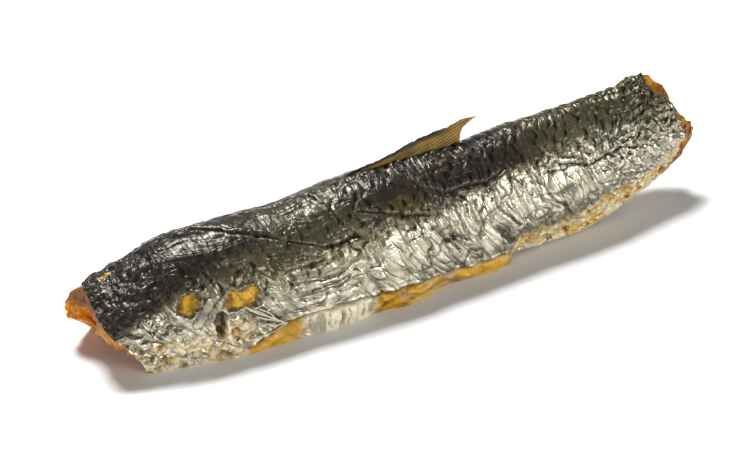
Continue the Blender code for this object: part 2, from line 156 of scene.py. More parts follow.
FOLDS = (
    Fold(1.2, 0.60, ((14.5, 0.155), (26.8, -0.095), (34.2, -0.183), (38.8, -0.255), (44.5, -0.325),
                     (48.2, -0.385), (53.2, -0.403), (57.8, -0.398))),
    Fold(0.8, 0.45, ((49.5, 0.022), (54.8, -0.298))),
    Fold(0.9, 0.50, ((59.8, -0.25), (64.2, -0.295), (71.2, -0.363), (78.2, -0.41))),
    Fold(0.9, 0.50, ((78.2, -0.223), (84.8, -0.308), (89.5, -0.303), (98, -0.32), (103.2, -0.293))),
    Fold(1.0, 0.45, ((98, -0.333), (99.5, -0.52), (105.8, -0.693))),
    Fold(0.9, 0.42, ((112.8, -0.413), (114, -0.565), (119, -0.68))),
    Fold(0.7, 0.42, ((73.8, -0.393), (75.2, -0.54))),
    Fold(0.8, 0.45, ((78, -0.473), (85.8, -0.698))),
    Fold(0.7, 0.40, ((128.8, -0.463), (133, -0.698))),
    Fold(0.9, 0.45, ((120.8, -0.388), (129, -0.453), (134, -0.445), (142.5, -0.445))),
    Fold(0.9, 0.60, ((10, 0.3), (30, 0.4), (52, 0.36), (70, 0.5))),
    Fold(0.8, 0.55, ((70, 0.7), (90, 0.62), (112, 0.7), (134, 0.6))),
    Fold(0.8, 0.45, ((36, 0.52), (37, 0.64), (41, 0.76))),
    Fold(0.8, 0.45, ((96, 0.42), (98, 0.5), (104, 0.66))),
    Fold(0.8, 0.45, ((121, 0.4), (123, 0.52), (128, 0.66))),
)


@dataclass(frozen=True)
class Tear:
    """A place where the skin is torn away: its middle (X, share), half sizes in millimetres and its depth."""

    x: float
    share: float
    half_length: float
    half_width: float
    depth: float
    gold: float  # how much golden meat shows in it; the rest is a pit painted dark as shade


TEARS = (
    Tear(11.3, -0.50, 3.0, 3.0, 0.55, 1.0),
    Tear(24.4, -0.562, 5.0, 2.9, 0.55, 1.0),
    Tear(21.7, -0.80, 1.6, 1.9, 0.5, 1.0),
    Tear(28.6, -0.70, 1.6, 1.7, 0.4, 1.0),
    Tear(18.4, -0.705, 1.6, 3.4, 2.6, 0.0),
    Tear(-4.0, 0.03, 1.8, 1.1, 0.2, 1.0),
)


@dataclass(frozen=True)
class Lump:
    """A piece of gristle in the tears: its path (X, share), half width, height, and how pale it is."""

    path: tuple[tuple[float, float], ...]
    half_width: float
    height: float
    pale: float


LUMPS = (
    Lump(((16.4, -0.525), (15.4, -0.565), (13.9, -0.61), (12.5, -0.655)), 1.05, 1.0, 0.95),
    Lump(((17.4, -0.585), (18.7, -0.555)), 0.95, 0.8, 0.5),
    Lump(((19.6, -0.60), (20.1, -0.63)), 0.8, 0.7, 0.6),
    Lump(((24.2, -0.755), (25.8, -0.785)), 1.7, 0.9, 0.65),
    Lump(((20.0, -0.66), (20.2, -0.75), (20.9, -0.87)), 0.42, 0.8, 1.0),
    Lump(((41.5, -0.76), (44.0, -0.795), (47.5, -0.80)), 0.7, 0.35, 0.8),
)
# The bed of the folded fin by the tears, which is dark.
FIN_BED = ((25.5, -0.68), (30.0, -0.755), (35.0, -0.835))


def smooth_step(value: np.ndarray, start: float, end: float) -> np.ndarray:
    """0 before start, 1 after end, and an even S between.

    Args:
        value: what is tested.
        start: where the S starts.
        end: where it ends; it may lie before start.

    Returns:
        The share from 0 to 1.
    """
    share = np.clip((value - start) / (end - start), 0.0, 1.0)
    return share * share * (3.0 - 2.0 * share)


def hump(value: np.ndarray, middle: float, width: float) -> np.ndarray:
    """A bell that is 1 at the middle and fades over the width."""
    return np.exp(-(((value - middle) / width) ** 2))


def between(value: np.ndarray, start: float, full: float, fading: float, end: float) -> np.ndarray:
    """1 from full to fading, 0 before start and after end, and an even S on either side.

    Args:
        value: what is tested.
        start: where it rises from 0.
        full: where it reaches 1.
        fading: where it starts to fall.
        end: where it is 0 again.

    Returns:
        The share from 0 to 1.
    """
    return smooth_step(value, start, full) * (1 - smooth_step(value, fading, end))


def guide(points: tuple, column: int, x: np.ndarray) -> np.ndarray:
    """A guide line's column at x, on a smooth curve through its points that never overshoots them.

    Args:
        points: rows whose first number is the place.
        column: which number of each row is read.
        x: the places asked for.

    Returns:
        The values there.
    """
    table = np.array(points, float)
    places, values = table[:, 0], table[:, column]
    gaps = np.diff(places)
    climbs = np.diff(values) / gaps
    product = climbs[:-1] * climbs[1:]
    total = climbs[:-1] + climbs[1:]
    inner = np.where(product > 0, 2 * product / np.where(total == 0, 1, total), 0)
    slopes = np.concatenate([climbs[:1], inner, climbs[-1:]])
    x = np.clip(x, places[0], places[-1])
    i = np.clip(np.searchsorted(places, x, side="right") - 1, 0, len(places) - 2)
    t = (x - places[i]) / gaps[i]
    return (
        values[i] * (1 + 2 * t) * (1 - t) ** 2
        + values[i + 1] * t**2 * (3 - 2 * t)
        + gaps[i] * slopes[i] * t * (1 - t) ** 2
        - gaps[i] * slopes[i + 1] * t**2 * (1 - t)
    )


def guide_point(points: tuple, x: np.ndarray) -> np.ndarray:
    """(Y, Z) of a guide line at each x."""
    return np.stack([guide(points, 1, x), guide(points, 2, x)], axis=-1)


def in_metres(points: np.ndarray) -> np.ndarray:
    """Points of the fish's own millimetres, in the frame's metres."""
    return (points - np.array([MIDDLE[0], MIDDLE[1], 0.0])) * MM


def distance_to_path(x: np.ndarray, around: np.ndarray, path: tuple) -> np.ndarray:
    """How far each skin place is from a path, in millimetres along the skin.

    Args:
        x: X of the places.
        around: millimetres round from the ridge, below 0 on the near side.
        path: (X, share) of the path's points.

    Returns:
        The distances.
    """
    nearest = np.full(np.shape(x), 1e9)
    for (x0, share0), (x1, share1) in zip(path[:-1], path[1:]):
        start = np.array([x0, share0 * FLANK])
        step = np.array([x1, share1 * FLANK]) - start
        along = np.clip(((x - start[0]) * step[0] + (around - start[1]) * step[1]) / (step @ step), 0, 1)
        gap = np.hypot(x - start[0] - along * step[0], around - start[1] - along * step[1])
        nearest = np.minimum(nearest, gap)
    return nearest


@dataclass(frozen=True)
class Plates:
    """What a cell pattern gives at each place."""

    middle: np.ndarray  # distance from the cell's own point, in cells
    border: np.ndarray  # distance from the border, in cells
    tilt: np.ndarray  # how high a randomly tilted plate stands there, from about -0.5 to 0.5
    chance: np.ndarray  # a random number for the whole cell


@dataclass(frozen=True)
class Creases:
    """What a pattern of creases gives at each place."""

    line: np.ndarray  # 1 in a crease, 0 away from it
    step: np.ndarray  # 1 on the high lip's side, -1 on the low one's, 0 where no crease runs


@dataclass(frozen=True)
class Grain:
    """Seeded patterns over the skin's own millimetres."""

    seed: int

    def chance(self, i: np.ndarray, j: np.ndarray, channel: int = 0) -> np.ndarray:
        """Even random numbers from 0 to 1 for whole-numbered places.

        Args:
            i: the place's first number.
            j: its second number.
            channel: another set of numbers for the same places.

        Returns:
            One number for each place.
        """
        mixed = i.astype(np.int64) * 374761393 + j.astype(np.int64) * 668265263
        mixed = (mixed + (self.seed * 1013 + channel) * 2246822519) & 0xFFFFFFFF
        mixed = ((mixed ^ (mixed >> 13)) * 1274126177) & 0xFFFFFFFF
        return (mixed ^ (mixed >> 16)) / 0xFFFFFFFF

    def swell(self, u: np.ndarray, v: np.ndarray, channel: int = 0) -> np.ndarray:
        """Smooth noise with one swell a unit.

        Args:
            u: the first coordinate.
            v: the second.
            channel: another pattern of the same seed.

        Returns:
            The noise from -1 to 1.
        """
        i, j = np.floor(u), np.floor(v)
        a, b = u - i, v - j
        a = a**3 * (a * (a * 6 - 15) + 10)
        b = b**3 * (b * (b * 6 - 15) + 10)
        low = self.chance(i, j, channel) * (1 - a) + self.chance(i + 1, j, channel) * a
        high = self.chance(i, j + 1, channel) * (1 - a) + self.chance(i + 1, j + 1, channel) * a
        return 2 * (low * (1 - b) + high * b) - 1

    def rough(self, u: np.ndarray, v: np.ndarray, octaves: int = 4, channel: int = 0) -> np.ndarray:
        """Noise with finer and finer swells.

        Args:
            u: the first coordinate, in the largest swells.
            v: the second.
            octaves: how many times the swells get finer by half.
            channel: another pattern of the same seed.

        Returns:
            The noise, from about -1 to 1.
        """
        total, weights = 0, 0
        for octave in range(octaves):
            finer, weight = 2**octave, 0.5**octave
            total = total + weight * self.swell(u * finer + 7.3 * octave, v * finer, channel + octave)
            weights += weight
        return total / weights * 1.4

    def ridges(self, u: np.ndarray, v: np.ndarray, octaves: int = 3, channel: int = 0) -> np.ndarray:
        """Sharp crests on a flat ground.

        Args:
            u: the first coordinate, in the largest swells.
            v: the second.
            octaves: how many times the crests get finer by half.
            channel: another pattern of the same seed.

        Returns:
            The crests' height from 0 to 1.
        """
        total, weights = 0, 0
        for octave in range(octaves):
            finer, weight = 2**octave, 0.5**octave
            crest = 1 - np.abs(self.swell(u * finer, v * finer + 3.7 * octave, channel + octave))
            total = total + weight * crest**2.5
            weights += weight
        return total / weights

    def plates(self, u: np.ndarray, v: np.ndarray, channel: int = 0) -> Plates:
        """A pattern of cells, one to a unit square.

        Args:
            u: the first coordinate, in cells.
            v: the second.
            channel: another pattern of the same seed.

        Returns:
            The pattern's plates at each place.
        """
        i, j = np.floor(u), np.floor(v)
        first = np.full(np.shape(u), 9.0)
        second = np.full(np.shape(u), 9.0)
        tilt, chance = np.zeros(np.shape(u)), np.zeros(np.shape(u))
        for step_i in (-1, 0, 1):
            for step_j in (-1, 0, 1):
                ci, cj = i + step_i, j + step_j
                du = u - ci - 0.08 - 0.84 * self.chance(ci, cj, channel)
                dv = v - cj - 0.08 - 0.84 * self.chance(ci, cj, channel + 1)
                gap = np.hypot(du, dv)
                slope_u = self.chance(ci, cj, channel + 2) - 0.5
                slope_v = self.chance(ci, cj, channel + 3) - 0.5
                closer = gap < first
                second = np.where(closer, first, np.minimum(second, gap))
                tilt = np.where(closer, 2 * (slope_u * du + slope_v * dv), tilt)
                chance = np.where(closer, self.chance(ci, cj, channel + 4), chance)
                first = np.where(closer, gap, first)
        return Plates(first, second - first, tilt, chance)


class Surface:
    """A surface over X and the share of the way round, from one section a millimetre."""

    def __init__(self, x: np.ndarray, near: np.ndarray, far: np.ndarray) -> None:
        """Joins the two sides.

        Args:
            x: X of the sections.
            near: points of the near side, from the ridge down, for each section.
            far: points of the far side.
        """
        self.x = x
        self.share = np.linspace(-1, 1, 2 * len(near) - 1)
        self.grid = np.concatenate([near[::-1], far[1:]])

    def at(self, x: np.ndarray, share: np.ndarray) -> np.ndarray:
        """Points of the surface.

        Args:
            x: X of the places.
            share: their share of the way round, an array of the same shape.

        Returns:
            (X, Y, Z) of each place.
        """
        row = np.interp(share, self.share, np.arange(len(self.share)))
        column = np.interp(x, self.x, np.arange(len(self.x)))
        i = np.clip(row.astype(int), 0, len(self.share) - 2)
        j = np.clip(column.astype(int), 0, len(self.x) - 2)
        a, b = (row - i)[..., None], (column - j)[..., None]
        low = self.grid[i, j] * (1 - b) + self.grid[i, j + 1] * b
        high = self.grid[i + 1, j] * (1 - b) + self.grid[i + 1, j + 1] * b
        return np.concatenate([np.asarray(x)[..., None], low * (1 - a) + high * a], axis=-1)

    def outward(self, x: np.ndarray, share: np.ndarray) -> np.ndarray:
        """The surface's directions.

        Args:
            x: X of the places.
            share: their share of the way round.

        Returns:
            Unit vectors that stand square on the surface, away from the fish.
        """
        reach_x, reach_share = 1.5, 0.03
        along = self.at(x + reach_x, share) - self.at(x - reach_x, share)
        low = self.at(x, np.clip(share - reach_share, -1, 1))
        across = self.at(x, np.clip(share + reach_share, -1, 1)) - low
        normal = np.cross(along, across)
        return normal / np.linalg.norm(normal, axis=-1, keepdims=True)


class FishForm:
    """The fish's smooth outer form and its belly cavity, worked out from the guide lines."""

    def __init__(self) -> None:
        """Works out both surfaces."""
        x = np.arange(FIRST_X, LAST_X + 1)
        self.skin = self.skin_surface(x)
        self.cavity = self.cavity_surface(x)

    @staticmethod
    def cubic(
        start: np.ndarray, handle: np.ndarray, end_handle: np.ndarray, end: np.ndarray, count: int
    ) -> np.ndarray:
        """A cubic curve for each station.

        Args:
            start: where the curves start.
            handle: what they head for there.
            end_handle: what they come from at their end.
            end: where they end.
            count: how many points each one gets.

        Returns:
            The curves' points (points, stations, 2).
        """
        t = np.linspace(0, 1, count)[:, None, None]
        first_half = (1 - t) ** 3 * start + 3 * t * (1 - t) ** 2 * handle
        return first_half + 3 * t**2 * (1 - t) * end_handle + t**3 * end

    @staticmethod
    def even_points(line: np.ndarray, count: int) -> np.ndarray:
        """Spaces the points of curves evenly.

        Args:
            line: the curves' points (points, stations, 2).
            count: how many points each one gets.

        Returns:
            The same curves with their new points.
        """
        steps = np.linalg.norm(np.diff(line, axis=0), axis=2)
        run = np.concatenate([np.zeros((1, line.shape[1])), np.cumsum(steps, axis=0)])
        shares = np.linspace(0, 1, count)
        even = np.empty((count, line.shape[1], 2))
        for station in range(line.shape[1]):
            places = shares * run[-1, station]
            for axis in range(2):
                even[:, station, axis] = np.interp(places, run[:, station], line[:, station, axis])
        return even

    def flank(self, ridge: np.ndarray, waist: np.ndarray, rim: np.ndarray, lean: np.ndarray) -> np.ndarray:
        """One side's section at every station, from the ridge over the waist to the rim.

        Args:
            ridge: (Y, Z) of the ridge at each station.
            waist: the same of the waist.
            rim: the same of the rim.
            lean: how far the fish leans there, in radians.

        Returns:
            The side's points (points, stations, 2).
        """
        up = np.stack([np.sin(lean), np.cos(lean)], axis=-1)
        side = np.stack([np.cos(lean), -np.sin(lean)], axis=-1)
        across = side * np.sum((waist - ridge) * side, axis=-1, keepdims=True)
        rise = up * np.sum((ridge - waist) * up, axis=-1, keepdims=True)
        drop = up * np.sum((waist - rim) * up, axis=-1, keepdims=True)
        upper = self.cubic(ridge, ridge + across * QUARTER_ARC, waist + rise * QUARTER_ARC, waist, 40)
        lower = self.cubic(waist, waist - drop * QUARTER_ARC, rim + drop * 0.35, rim, 16)
        return self.even_points(np.concatenate([upper, lower[1:]]), 41)

    def skin_surface(self, x: np.ndarray) -> Surface:
        """The fish's outer skin.

        Args:
            x: its stations.

        Returns:
            The skin's two sides over them.
        """
        ridge = guide_point(RIDGE, x)
        lean = np.radians(guide(LEAN, 1, x))
        near = self.flank(ridge, guide_point(NEAR_WAIST, x), guide_point(NEAR_RIM, x), lean)
        far = self.flank(ridge, guide_point(FAR_WAIST, x), guide_point(FAR_RIM, x), lean)
        return Surface(x, near, far)

    def cavity_surface(self, x: np.ndarray) -> Surface:
        """The wall of the belly cavity, which closes to a narrow strip behind the vent.

        Args:
            x: X of the stations.

        Returns:
            The wall.
        """
        ceiling, waist_wall, rim_wall = (guide(CAVITY, column, x) for column in (1, 2, 3))
        near_rim, far_rim = guide_point(NEAR_RIM, x), guide_point(FAR_RIM, x)
        top = (near_rim + far_rim) / 2 + np.stack([0 * x, ceiling], axis=-1)
        half = (far_rim - near_rim)[:, 0] / 2
        sides = []
        for rim, flank in ((near_rim, Flank.NEAR), (far_rim, Flank.FAR)):
            sign = -flank.value
            inner_rim = rim + np.stack([sign * np.minimum(rim_wall, 0.4 * half), 0 * x], axis=-1)
            waist_y = rim[:, 0] + sign * np.minimum(waist_wall, 0.6 * half)
            waist = np.stack([waist_y, rim[:, 1] + 0.35 * ceiling], axis=-1)
            sides.append(self.flank(top, waist, inner_rim, 0 * x))
        return Surface(x, *sides)


@dataclass(frozen=True)
class Relief:
    """How high the skin stands at each place, and what it is there, each from 0 to 1."""

    height: np.ndarray
    back: np.ndarray
    gold: np.ndarray
    raw: np.ndarray
    pale: np.ndarray
    olive: np.ndarray
    # painted shade in the creases, folds, grooves and tears, with the dark scale edges and the fin's bed
    dark: np.ndarray
    fibres: np.ndarray
    along: np.ndarray  # metres along the skin, straight across its creases
    aside: np.ndarray  # metres round from the ridge

    def marks(self) -> dict[str, np.ndarray]:
        """The masks and the places on the skin by name, as the finishes read them."""
        names = ("back", "gold", "raw", "pale", "olive", "dark", "fibres", "along", "aside")
        return {name: getattr(self, name) for name in names}


@dataclass(frozen=True)
class CreaseKind:
    """A kind of crease: how many millimetres one swell of its pattern takes each way, and how wide it is."""

    along: float
    around: float
    channel: int
    width: float  # in swells
    shift: tuple[float, float] = (0.0, 0.0)
    bends: bool = False  # whether it bends back towards the belly with the skin


# Creases that run round the body.
MAIN = CreaseKind(3.1, 9.5, 10, 0.13, bends=True)
FINE = CreaseKind(1.5, 3.8, 20, 0.17, (9.1, 0.0), bends=True)
STEEP = CreaseKind(1.25, 2.9, 50, 0.26, (3.3, 0.0), bends=True)
PLEAT = CreaseKind(1.35, 7.0, 64, 0.26)
# Creases that run along it.
CROSS = CreaseKind(7.5, 3.4, 30, 0.12, (0.0, 5.3))
STRAND = CreaseKind(8.0, 1.45, 40, 0.24, (1.7, 0.0))
FLAT = CreaseKind(2.9, 1.3, 60, 0.26, (0.0, 2.9))
THREAD = CreaseKind(13.0, 1.7, 80, 0.24)


@dataclass(frozen=True)
class SkinPlaces:
    """Places on the skin in millimetres: straight, and as they are shifted for its patterns."""

    x: np.ndarray
    share: np.ndarray
    around: np.ndarray  # round from the ridge, below 0 on the near side
    down: np.ndarray  # away from the ridge on either side
    warp_x: np.ndarray  # the shift along the fish
    warp_y: np.ndarray  # the shift round it
    bent: np.ndarray  # straight across the creases, which bend back towards the belly

    @property
    def shifted(self) -> tuple[np.ndarray, np.ndarray]:
        """The shifted places, along the fish and round it."""
        return self.x + self.warp_x, self.around + self.warp_y


@dataclass(frozen=True)
class Zones:
    """How much each kind of skin there is at each place, from 0 to 1."""

    back: np.ndarray
    belly: np.ndarray
    throat: np.ndarray
    vent: np.ndarray
    head: np.ndarray
    lip: np.ndarray
    on_lip: np.ndarray  # the stretch of the body that has a lip
    below: np.ndarray  # millimetres past the line above the lip
    fibres: np.ndarray
    flank: np.ndarray  # where the flank is creased but not fibrous
    rumple: np.ndarray  # the crumpled skin by the cuts
    streaks: np.ndarray  # the long wrinkles by the ridge


@dataclass(frozen=True)
class Web:
    """The patterns of the skin at each place."""

    main: Creases
    fine: Creases
    steep: Creases
    pleat: Creases
    cross: Creases
    strand: Creases
    flat: Creases
    thread: Creases
    plate_line: np.ndarray
    plate_tilt: np.ndarray
    facet_tilt: np.ndarray
    knobs: Plates
    scale_mark: np.ndarray
    scale_dome: np.ndarray


@dataclass(frozen=True)
class SkinRelief:
    """The wrinkles, folds, scales and tears of the dried skin."""

    grain: Grain = Grain(11)
    crease_bend: float = 0.020  # how fast the creases bend back below the shoulder
    scale_pitch: float = 3.5  # from one scale to the next along the fish
    scale_row: float = 2.3  # from one row to the next round it
    lip_width: float = 4.6
    rim_width: float = 1.6  # how near a belly edge the relief gets lower
    rim_relief: float = 0.35  # what is left of it there

    def at(self, x: np.ndarray, share: np.ndarray) -> Relief:
        """The relief at each place.

        Args:
            x: X of the places.
            share: their share of the way round.

        Returns:
            The relief there.
        """
        place = self.places(x, share)
        zone = self.zones(place)
        web = self.web(place)
        folds, folded = self.long_folds(place)
        curl, pale = self.lip_curl(place, zone, web)
        groove = hump(zone.below, 0.2, 0.5) * zone.on_lip
        cord = hump(zone.below, -0.75, 0.5) * zone.on_lip
        height = self.wrinkles(place, zone, web) + self.back_relief(place, zone, web) + folds
        height += zone.belly * (1.15 * (1 - web.knobs.middle**2) * (0.35 + 0.65 * web.knobs.chance) - 0.5)
        height += 0.4 * cord - 1.05 * groove + curl
        flattened = smooth_step(FLANK - place.down, 0, self.rim_width)
        height *= self.rim_relief + (1 - self.rim_relief) * flattened
        height, raw, tear_shade, gristle = self.torn(place, height)
        bed = hump(distance_to_path(x, place.around, FIN_BED), 0, 2.4)
        height -= 0.5 * bed
        fat = 0.8 * zone.belly * smooth_step(self.rough(place, 2.6, 1.6, 3, 106), -0.5, 0.5)
        pale = np.max([pale, gristle, fat, 0.85 * cord * (1 - smooth_step(x, 44, 52))], axis=0)
        stains = 0.85 * hump(x, 64.5, 4.0) + 0.5 * hump(x, 33, 5.0) + 0.9 * hump(x, 104.6, 2.2)
        raw = np.maximum(raw, zone.lip * stains)
        patches = self.grain.rough(x / 3.2, place.around / 2.0, 4, 102)
        gold = zone.lip * (1 - pale) * (0.9 + 0.3 * patches)
        gold += zone.belly * (0.72 - 0.3 * zone.throat + 0.6 * patches)
        # Painted shade: the creases, the fold valleys, the groove above the lip, the tears and the gaps
        # between the belly's knobs darken the skin as if shade lay in them; the dark scale edges and the
        # fin's dark bed join them in one mark.
        crease = np.max([self.crease_lines(place, zone, web, pale), folded, groove, tear_shade], axis=0)
        knob_borders = np.exp(-((web.knobs.border / 0.10) ** 2)) * (0.3 + 0.7 * web.knobs.chance)
        dark = np.max([crease * (1 - 0.6 * zone.belly), 0.85 * zone.belly * knob_borders, 0.85 * bed], axis=0)
        return Relief(
            height=height, back=zone.back, gold=np.clip(gold, 0, 1), raw=raw, pale=pale,
            olive=self.olive(place), dark=np.clip(dark, 0, 1), fibres=zone.fibres,
            along=place.bent * MM, aside=place.shifted[1] * MM,
        )

    def places(self, x: np.ndarray, share: np.ndarray) -> SkinPlaces:
        """Works out the places in millimetres.

        Args:
            x: X of the places.
            share: their share of the way round.

        Returns:
            The places with their shifts.
        """
        around = share * FLANK
        down = np.abs(around)
        warp_x, warp_y = (
            1.2 * self.grain.swell(x / 7, around / 7, channel)
            + 0.45 * self.grain.swell(x / 2.3, around / 2.3, channel + 1)
            for channel in (1, 3)
        )
        bent = x + 0.6 * warp_x - self.crease_bend * np.clip(down - 8, 0, None) ** 2
        return SkinPlaces(x, share, around, down, warp_x, warp_y, bent)

    def rough(self, place: SkinPlaces, along: float, around: float, octaves: int, channel: int) -> np.ndarray:
        """Noise at the shifted places.

        Args:
            place: the places.
            along: how many millimetres its largest swells are long.
            around: how many they are wide.
            octaves: how many times the swells get finer by half.
            channel: another pattern of the same seed.

        Returns:
            The noise, from about -1 to 1.
        """
        x, y = place.shifted
        return self.grain.rough(x / along, y / around, octaves, channel)

    def zones(self, place: SkinPlaces) -> Zones:
        """Where each kind of skin lies.

        Args:
            place: the places.

        Returns:
            The zones.
        """
        x, down = place.x, place.down
        edge = guide(BACK_EDGE, 1, x) * FLANK
        patchy = self.grain.rough(x / 9, place.around / 5, 4, 5)
        fade = guide(BACK_FADE, 1, x)
        back = np.clip((edge - down + 0.45 * fade * patchy) / fade + 0.5, 0, 1) * guide(BACK_STRENGTH, 1, x)
        # Between the dark back and the flank lies an olive band behind the shoulder.
        band = between(down + 1.5 * patchy, 8.0, 12.0, 18.0, 22.5)
        band = band * smooth_step(x + 0.5 * down, 22, 34) * (1 - smooth_step(x, 56, 68))
        back = back * (1 - band) + (0.46 + 0.10 * patchy) * band
        below = down - guide(LIP_LINE, 1, x) * FLANK
        lip = smooth_step(below, -0.1, 0.3)
        vent = smooth_step(x, 98, 108)
        throat = 1 - smooth_step(x, 20, 32)
        ragged_down = down + 2.2 * patchy
        belly = np.maximum(
            smooth_step(ragged_down, 29.5, 34.5) * vent, smooth_step(ragged_down, 24.5, 30.5) * throat
        )
        tail = smooth_step(x + 0.25 * down, 128, 152)
        head = 1 - smooth_step(x - 0.2 * down, -2, 10)
        fibres = hump(x, 47, 13) * between(down, 14, 19, 29, 33)
        return Zones(
            back=back, belly=belly, throat=throat, vent=vent, head=head, lip=lip,
            on_lip=between(x, 22, 30, 102, 110), below=below, fibres=fibres,
            flank=(1 - back) * (1 - tail) * (1 - head) * (1 - 0.85 * lip) * (1 - 0.85 * fibres),
            rumple=np.maximum(tail * (1 - 0.25 * back), head * (0.9 - 0.45 * back)),
            streaks=between(x, 4, 14, 46, 58) * hump(place.share, 0.0, 0.24),
        )

    def web(self, place: SkinPlaces) -> Web:
        """The patterns that the wrinkles are made of.

        Args:
            place: the places.

        Returns:
            The patterns.
        """
        x, y = place.shifted
        facet = self.grain.plates(place.bent / 2.3, y / 2.1, 70)
        plate = self.grain.plates(place.bent / 2.9, y / 8.0, 74)
        mark, dome = self.scales(x, y)
        kinds = (MAIN, FINE, STEEP, PLEAT, CROSS, STRAND, FLAT, THREAD)
        return Web(
            *(self.creases(place, kind) for kind in kinds),
            plate_line=np.exp(-((plate.border / 0.08) ** 2)), plate_tilt=plate.tilt, facet_tilt=facet.tilt,
            knobs=self.grain.plates(x / 2.3, y / 2.0, 90), scale_mark=mark, scale_dome=dome,
        )

    def firm(self, place: SkinPlaces) -> np.ndarray:
        """How strong the fine creases are at each place."""
        return 0.6 + 0.5 * self.grain.swell(place.x / 11, place.around / 9, 6)

    def wrinkles(self, place: SkinPlaces, zone: Zones, web: Web) -> np.ndarray:
        """The broad swells, which the part has too, and the creases away from the back.

        Args:
            place: the places.
            zone: the kinds of skin there.
            web: the patterns there.

        Returns:
            Their height.
        """
        x, around, grain = place.x, place.around, self.grain
        swell = np.sin(2 * math.pi * (x + 0.3 * around) / 6.5) * np.sin(around / 4 + x / 9)
        height = 0.28 * swell * (1 - 0.75 * zone.back)
        flank = 0.18 * web.main.step - 0.60 * web.main.line
        flank += 0.12 * grain.swell(place.bent / 1.9, place.shifted[1] / 4, 14)
        flank += 0.50 * web.plate_tilt - 0.26 * web.plate_line
        flank += self.firm(place) * (0.06 * web.fine.step - 0.14 * web.fine.line)
        flank += 0.07 * web.cross.step - 0.26 * web.cross.line
        strands = 0.16 * web.strand.step - 0.45 * web.strand.line + 0.16 * grain.swell(
            place.shifted[0] / 4, place.shifted[1] / 1.6, 15
        )
        rumpled = 0.22 * web.steep.step - 0.38 * web.steep.line + 0.14 * web.flat.step - 0.28 * web.flat.line
        rumpled += 0.90 * web.facet_tilt + 0.10 * web.main.step - 0.30 * web.main.line
        height += zone.flank * flank + zone.fibres * strands + zone.rumple * rumpled
        return height + (1 - 0.6 * zone.back) * 0.09 * grain.rough(place.bent / 0.9, around / 1.7, 2, 7)

    def back_relief(self, place: SkinPlaces, zone: Zones, web: Web) -> np.ndarray:
        """The back: long wrinkles by the ridge, slight dents, scales, and the sheath of the fin's root.

        Args:
            place: the places.
            zone: the kinds of skin there.
            web: the patterns there.

        Returns:
            Its height.
        """
        x, around, grain = place.x, place.around, self.grain
        relief = zone.streaks * (0.13 * web.thread.step - 0.34 * web.thread.line)
        relief += 0.07 * grain.rough(x / 5.5, around / 4.0, 2, 8)
        relief += (1 - zone.streaks) * (0.06 * web.main.step - 0.15 * web.main.line)
        relief += (1 - zone.streaks) * (0.05 * web.fine.step - 0.13 * web.fine.line)
        relief += (1 - 0.8 * zone.streaks) * (0.08 * web.scale_dome - 0.12 * web.scale_mark)
        sheath = hump(around, 0.4, 1.1) * between(x, 58, 66, 93, 99)
        return zone.back * relief + sheath * (0.25 + 0.55 * grain.rough(x / 1.3, around / 0.9, 2, 107))

    def long_folds(self, place: SkinPlaces) -> tuple[np.ndarray, np.ndarray]:
        """The long folds, each with a rolled brow beside it.

        Args:
            place: the places.

        Returns:
            Their height, and how much each place lies in one of them.
        """
        x, around = place.x, place.around
        height, folded = np.zeros(np.shape(x)), np.zeros(np.shape(x))
        narrowing = 0.46 + 0.22 * self.grain.swell(x / 5, around / 5, 12)
        brow_height = 0.22 * (0.5 + self.grain.swell(x / 4, around / 4, 13))
        for fold in FOLDS:
            gap = distance_to_path(x + 0.35 * place.warp_x, around + 0.35 * place.warp_y, fold.path)
            valley = hump(gap, 0.0, fold.width * narrowing)
            brow = hump(gap, 2.2 * fold.width, 1.3 * fold.width)
            height += fold.depth * (brow_height * brow - 0.8 * valley)
            folded = np.maximum(folded, valley)
        return height, folded

    def lip_curl(self, place: SkinPlaces, zone: Zones, web: Web) -> tuple[np.ndarray, np.ndarray]:
        """The lip of the belly edge, which is pleated where it is pale.

        Args:
            place: the places.
            zone: the kinds of skin there.
            web: the patterns there.

        Returns:
            Its height, and how pale it is.
        """
        pale = zone.lip * between(place.x, 38, 43, 58, 62)
        frill = pale * self.rough(place, 1.0, 5.0, 2, 9) + (1 - pale) * self.rough(place, 4.5, 1.0, 3, 9)
        bulge = np.sin(np.clip(zone.below / self.lip_width, 0, 1) * math.pi)
        curl = zone.lip * (0.5 * bulge + 0.34 * frill - 0.15)
        golden = zone.lip * (1 - pale) * (1 - zone.vent)
        return curl - 0.75 * pale * web.pleat.line - 0.34 * golden * web.strand.line, pale

    def torn(self, place: SkinPlaces, height: np.ndarray) -> tuple[np.ndarray, ...]:
        """Opens the tears in the skin, each with a rolled border painted dark as shade, and lays the gristle
        in them with painted shade round its foot.

        Args:
            place: the places.
            height: how high the whole skin stands there.

        Returns:
            The new height, and how much bare meat, painted shade and pale gristle there is at each place.
        """
        x, around, grain = place.x, place.around, self.grain
        raw, tear_shade, gristle = (np.zeros(np.shape(x)) for _ in range(3))
        ragged = 0.32 * grain.rough(x / 2.2, around / 2.2, 4, 100)
        for tear in TEARS:
            reach = np.hypot((x - tear.x) / tear.half_length, (around - tear.share * FLANK) / tear.half_width)
            within = 1 - reach + ragged
            inside = smooth_step(within, -0.05, 0.16)
            height = height * (1 - 0.6 * inside) - tear.depth * inside + 0.3 * hump(within, -0.16, 0.16)
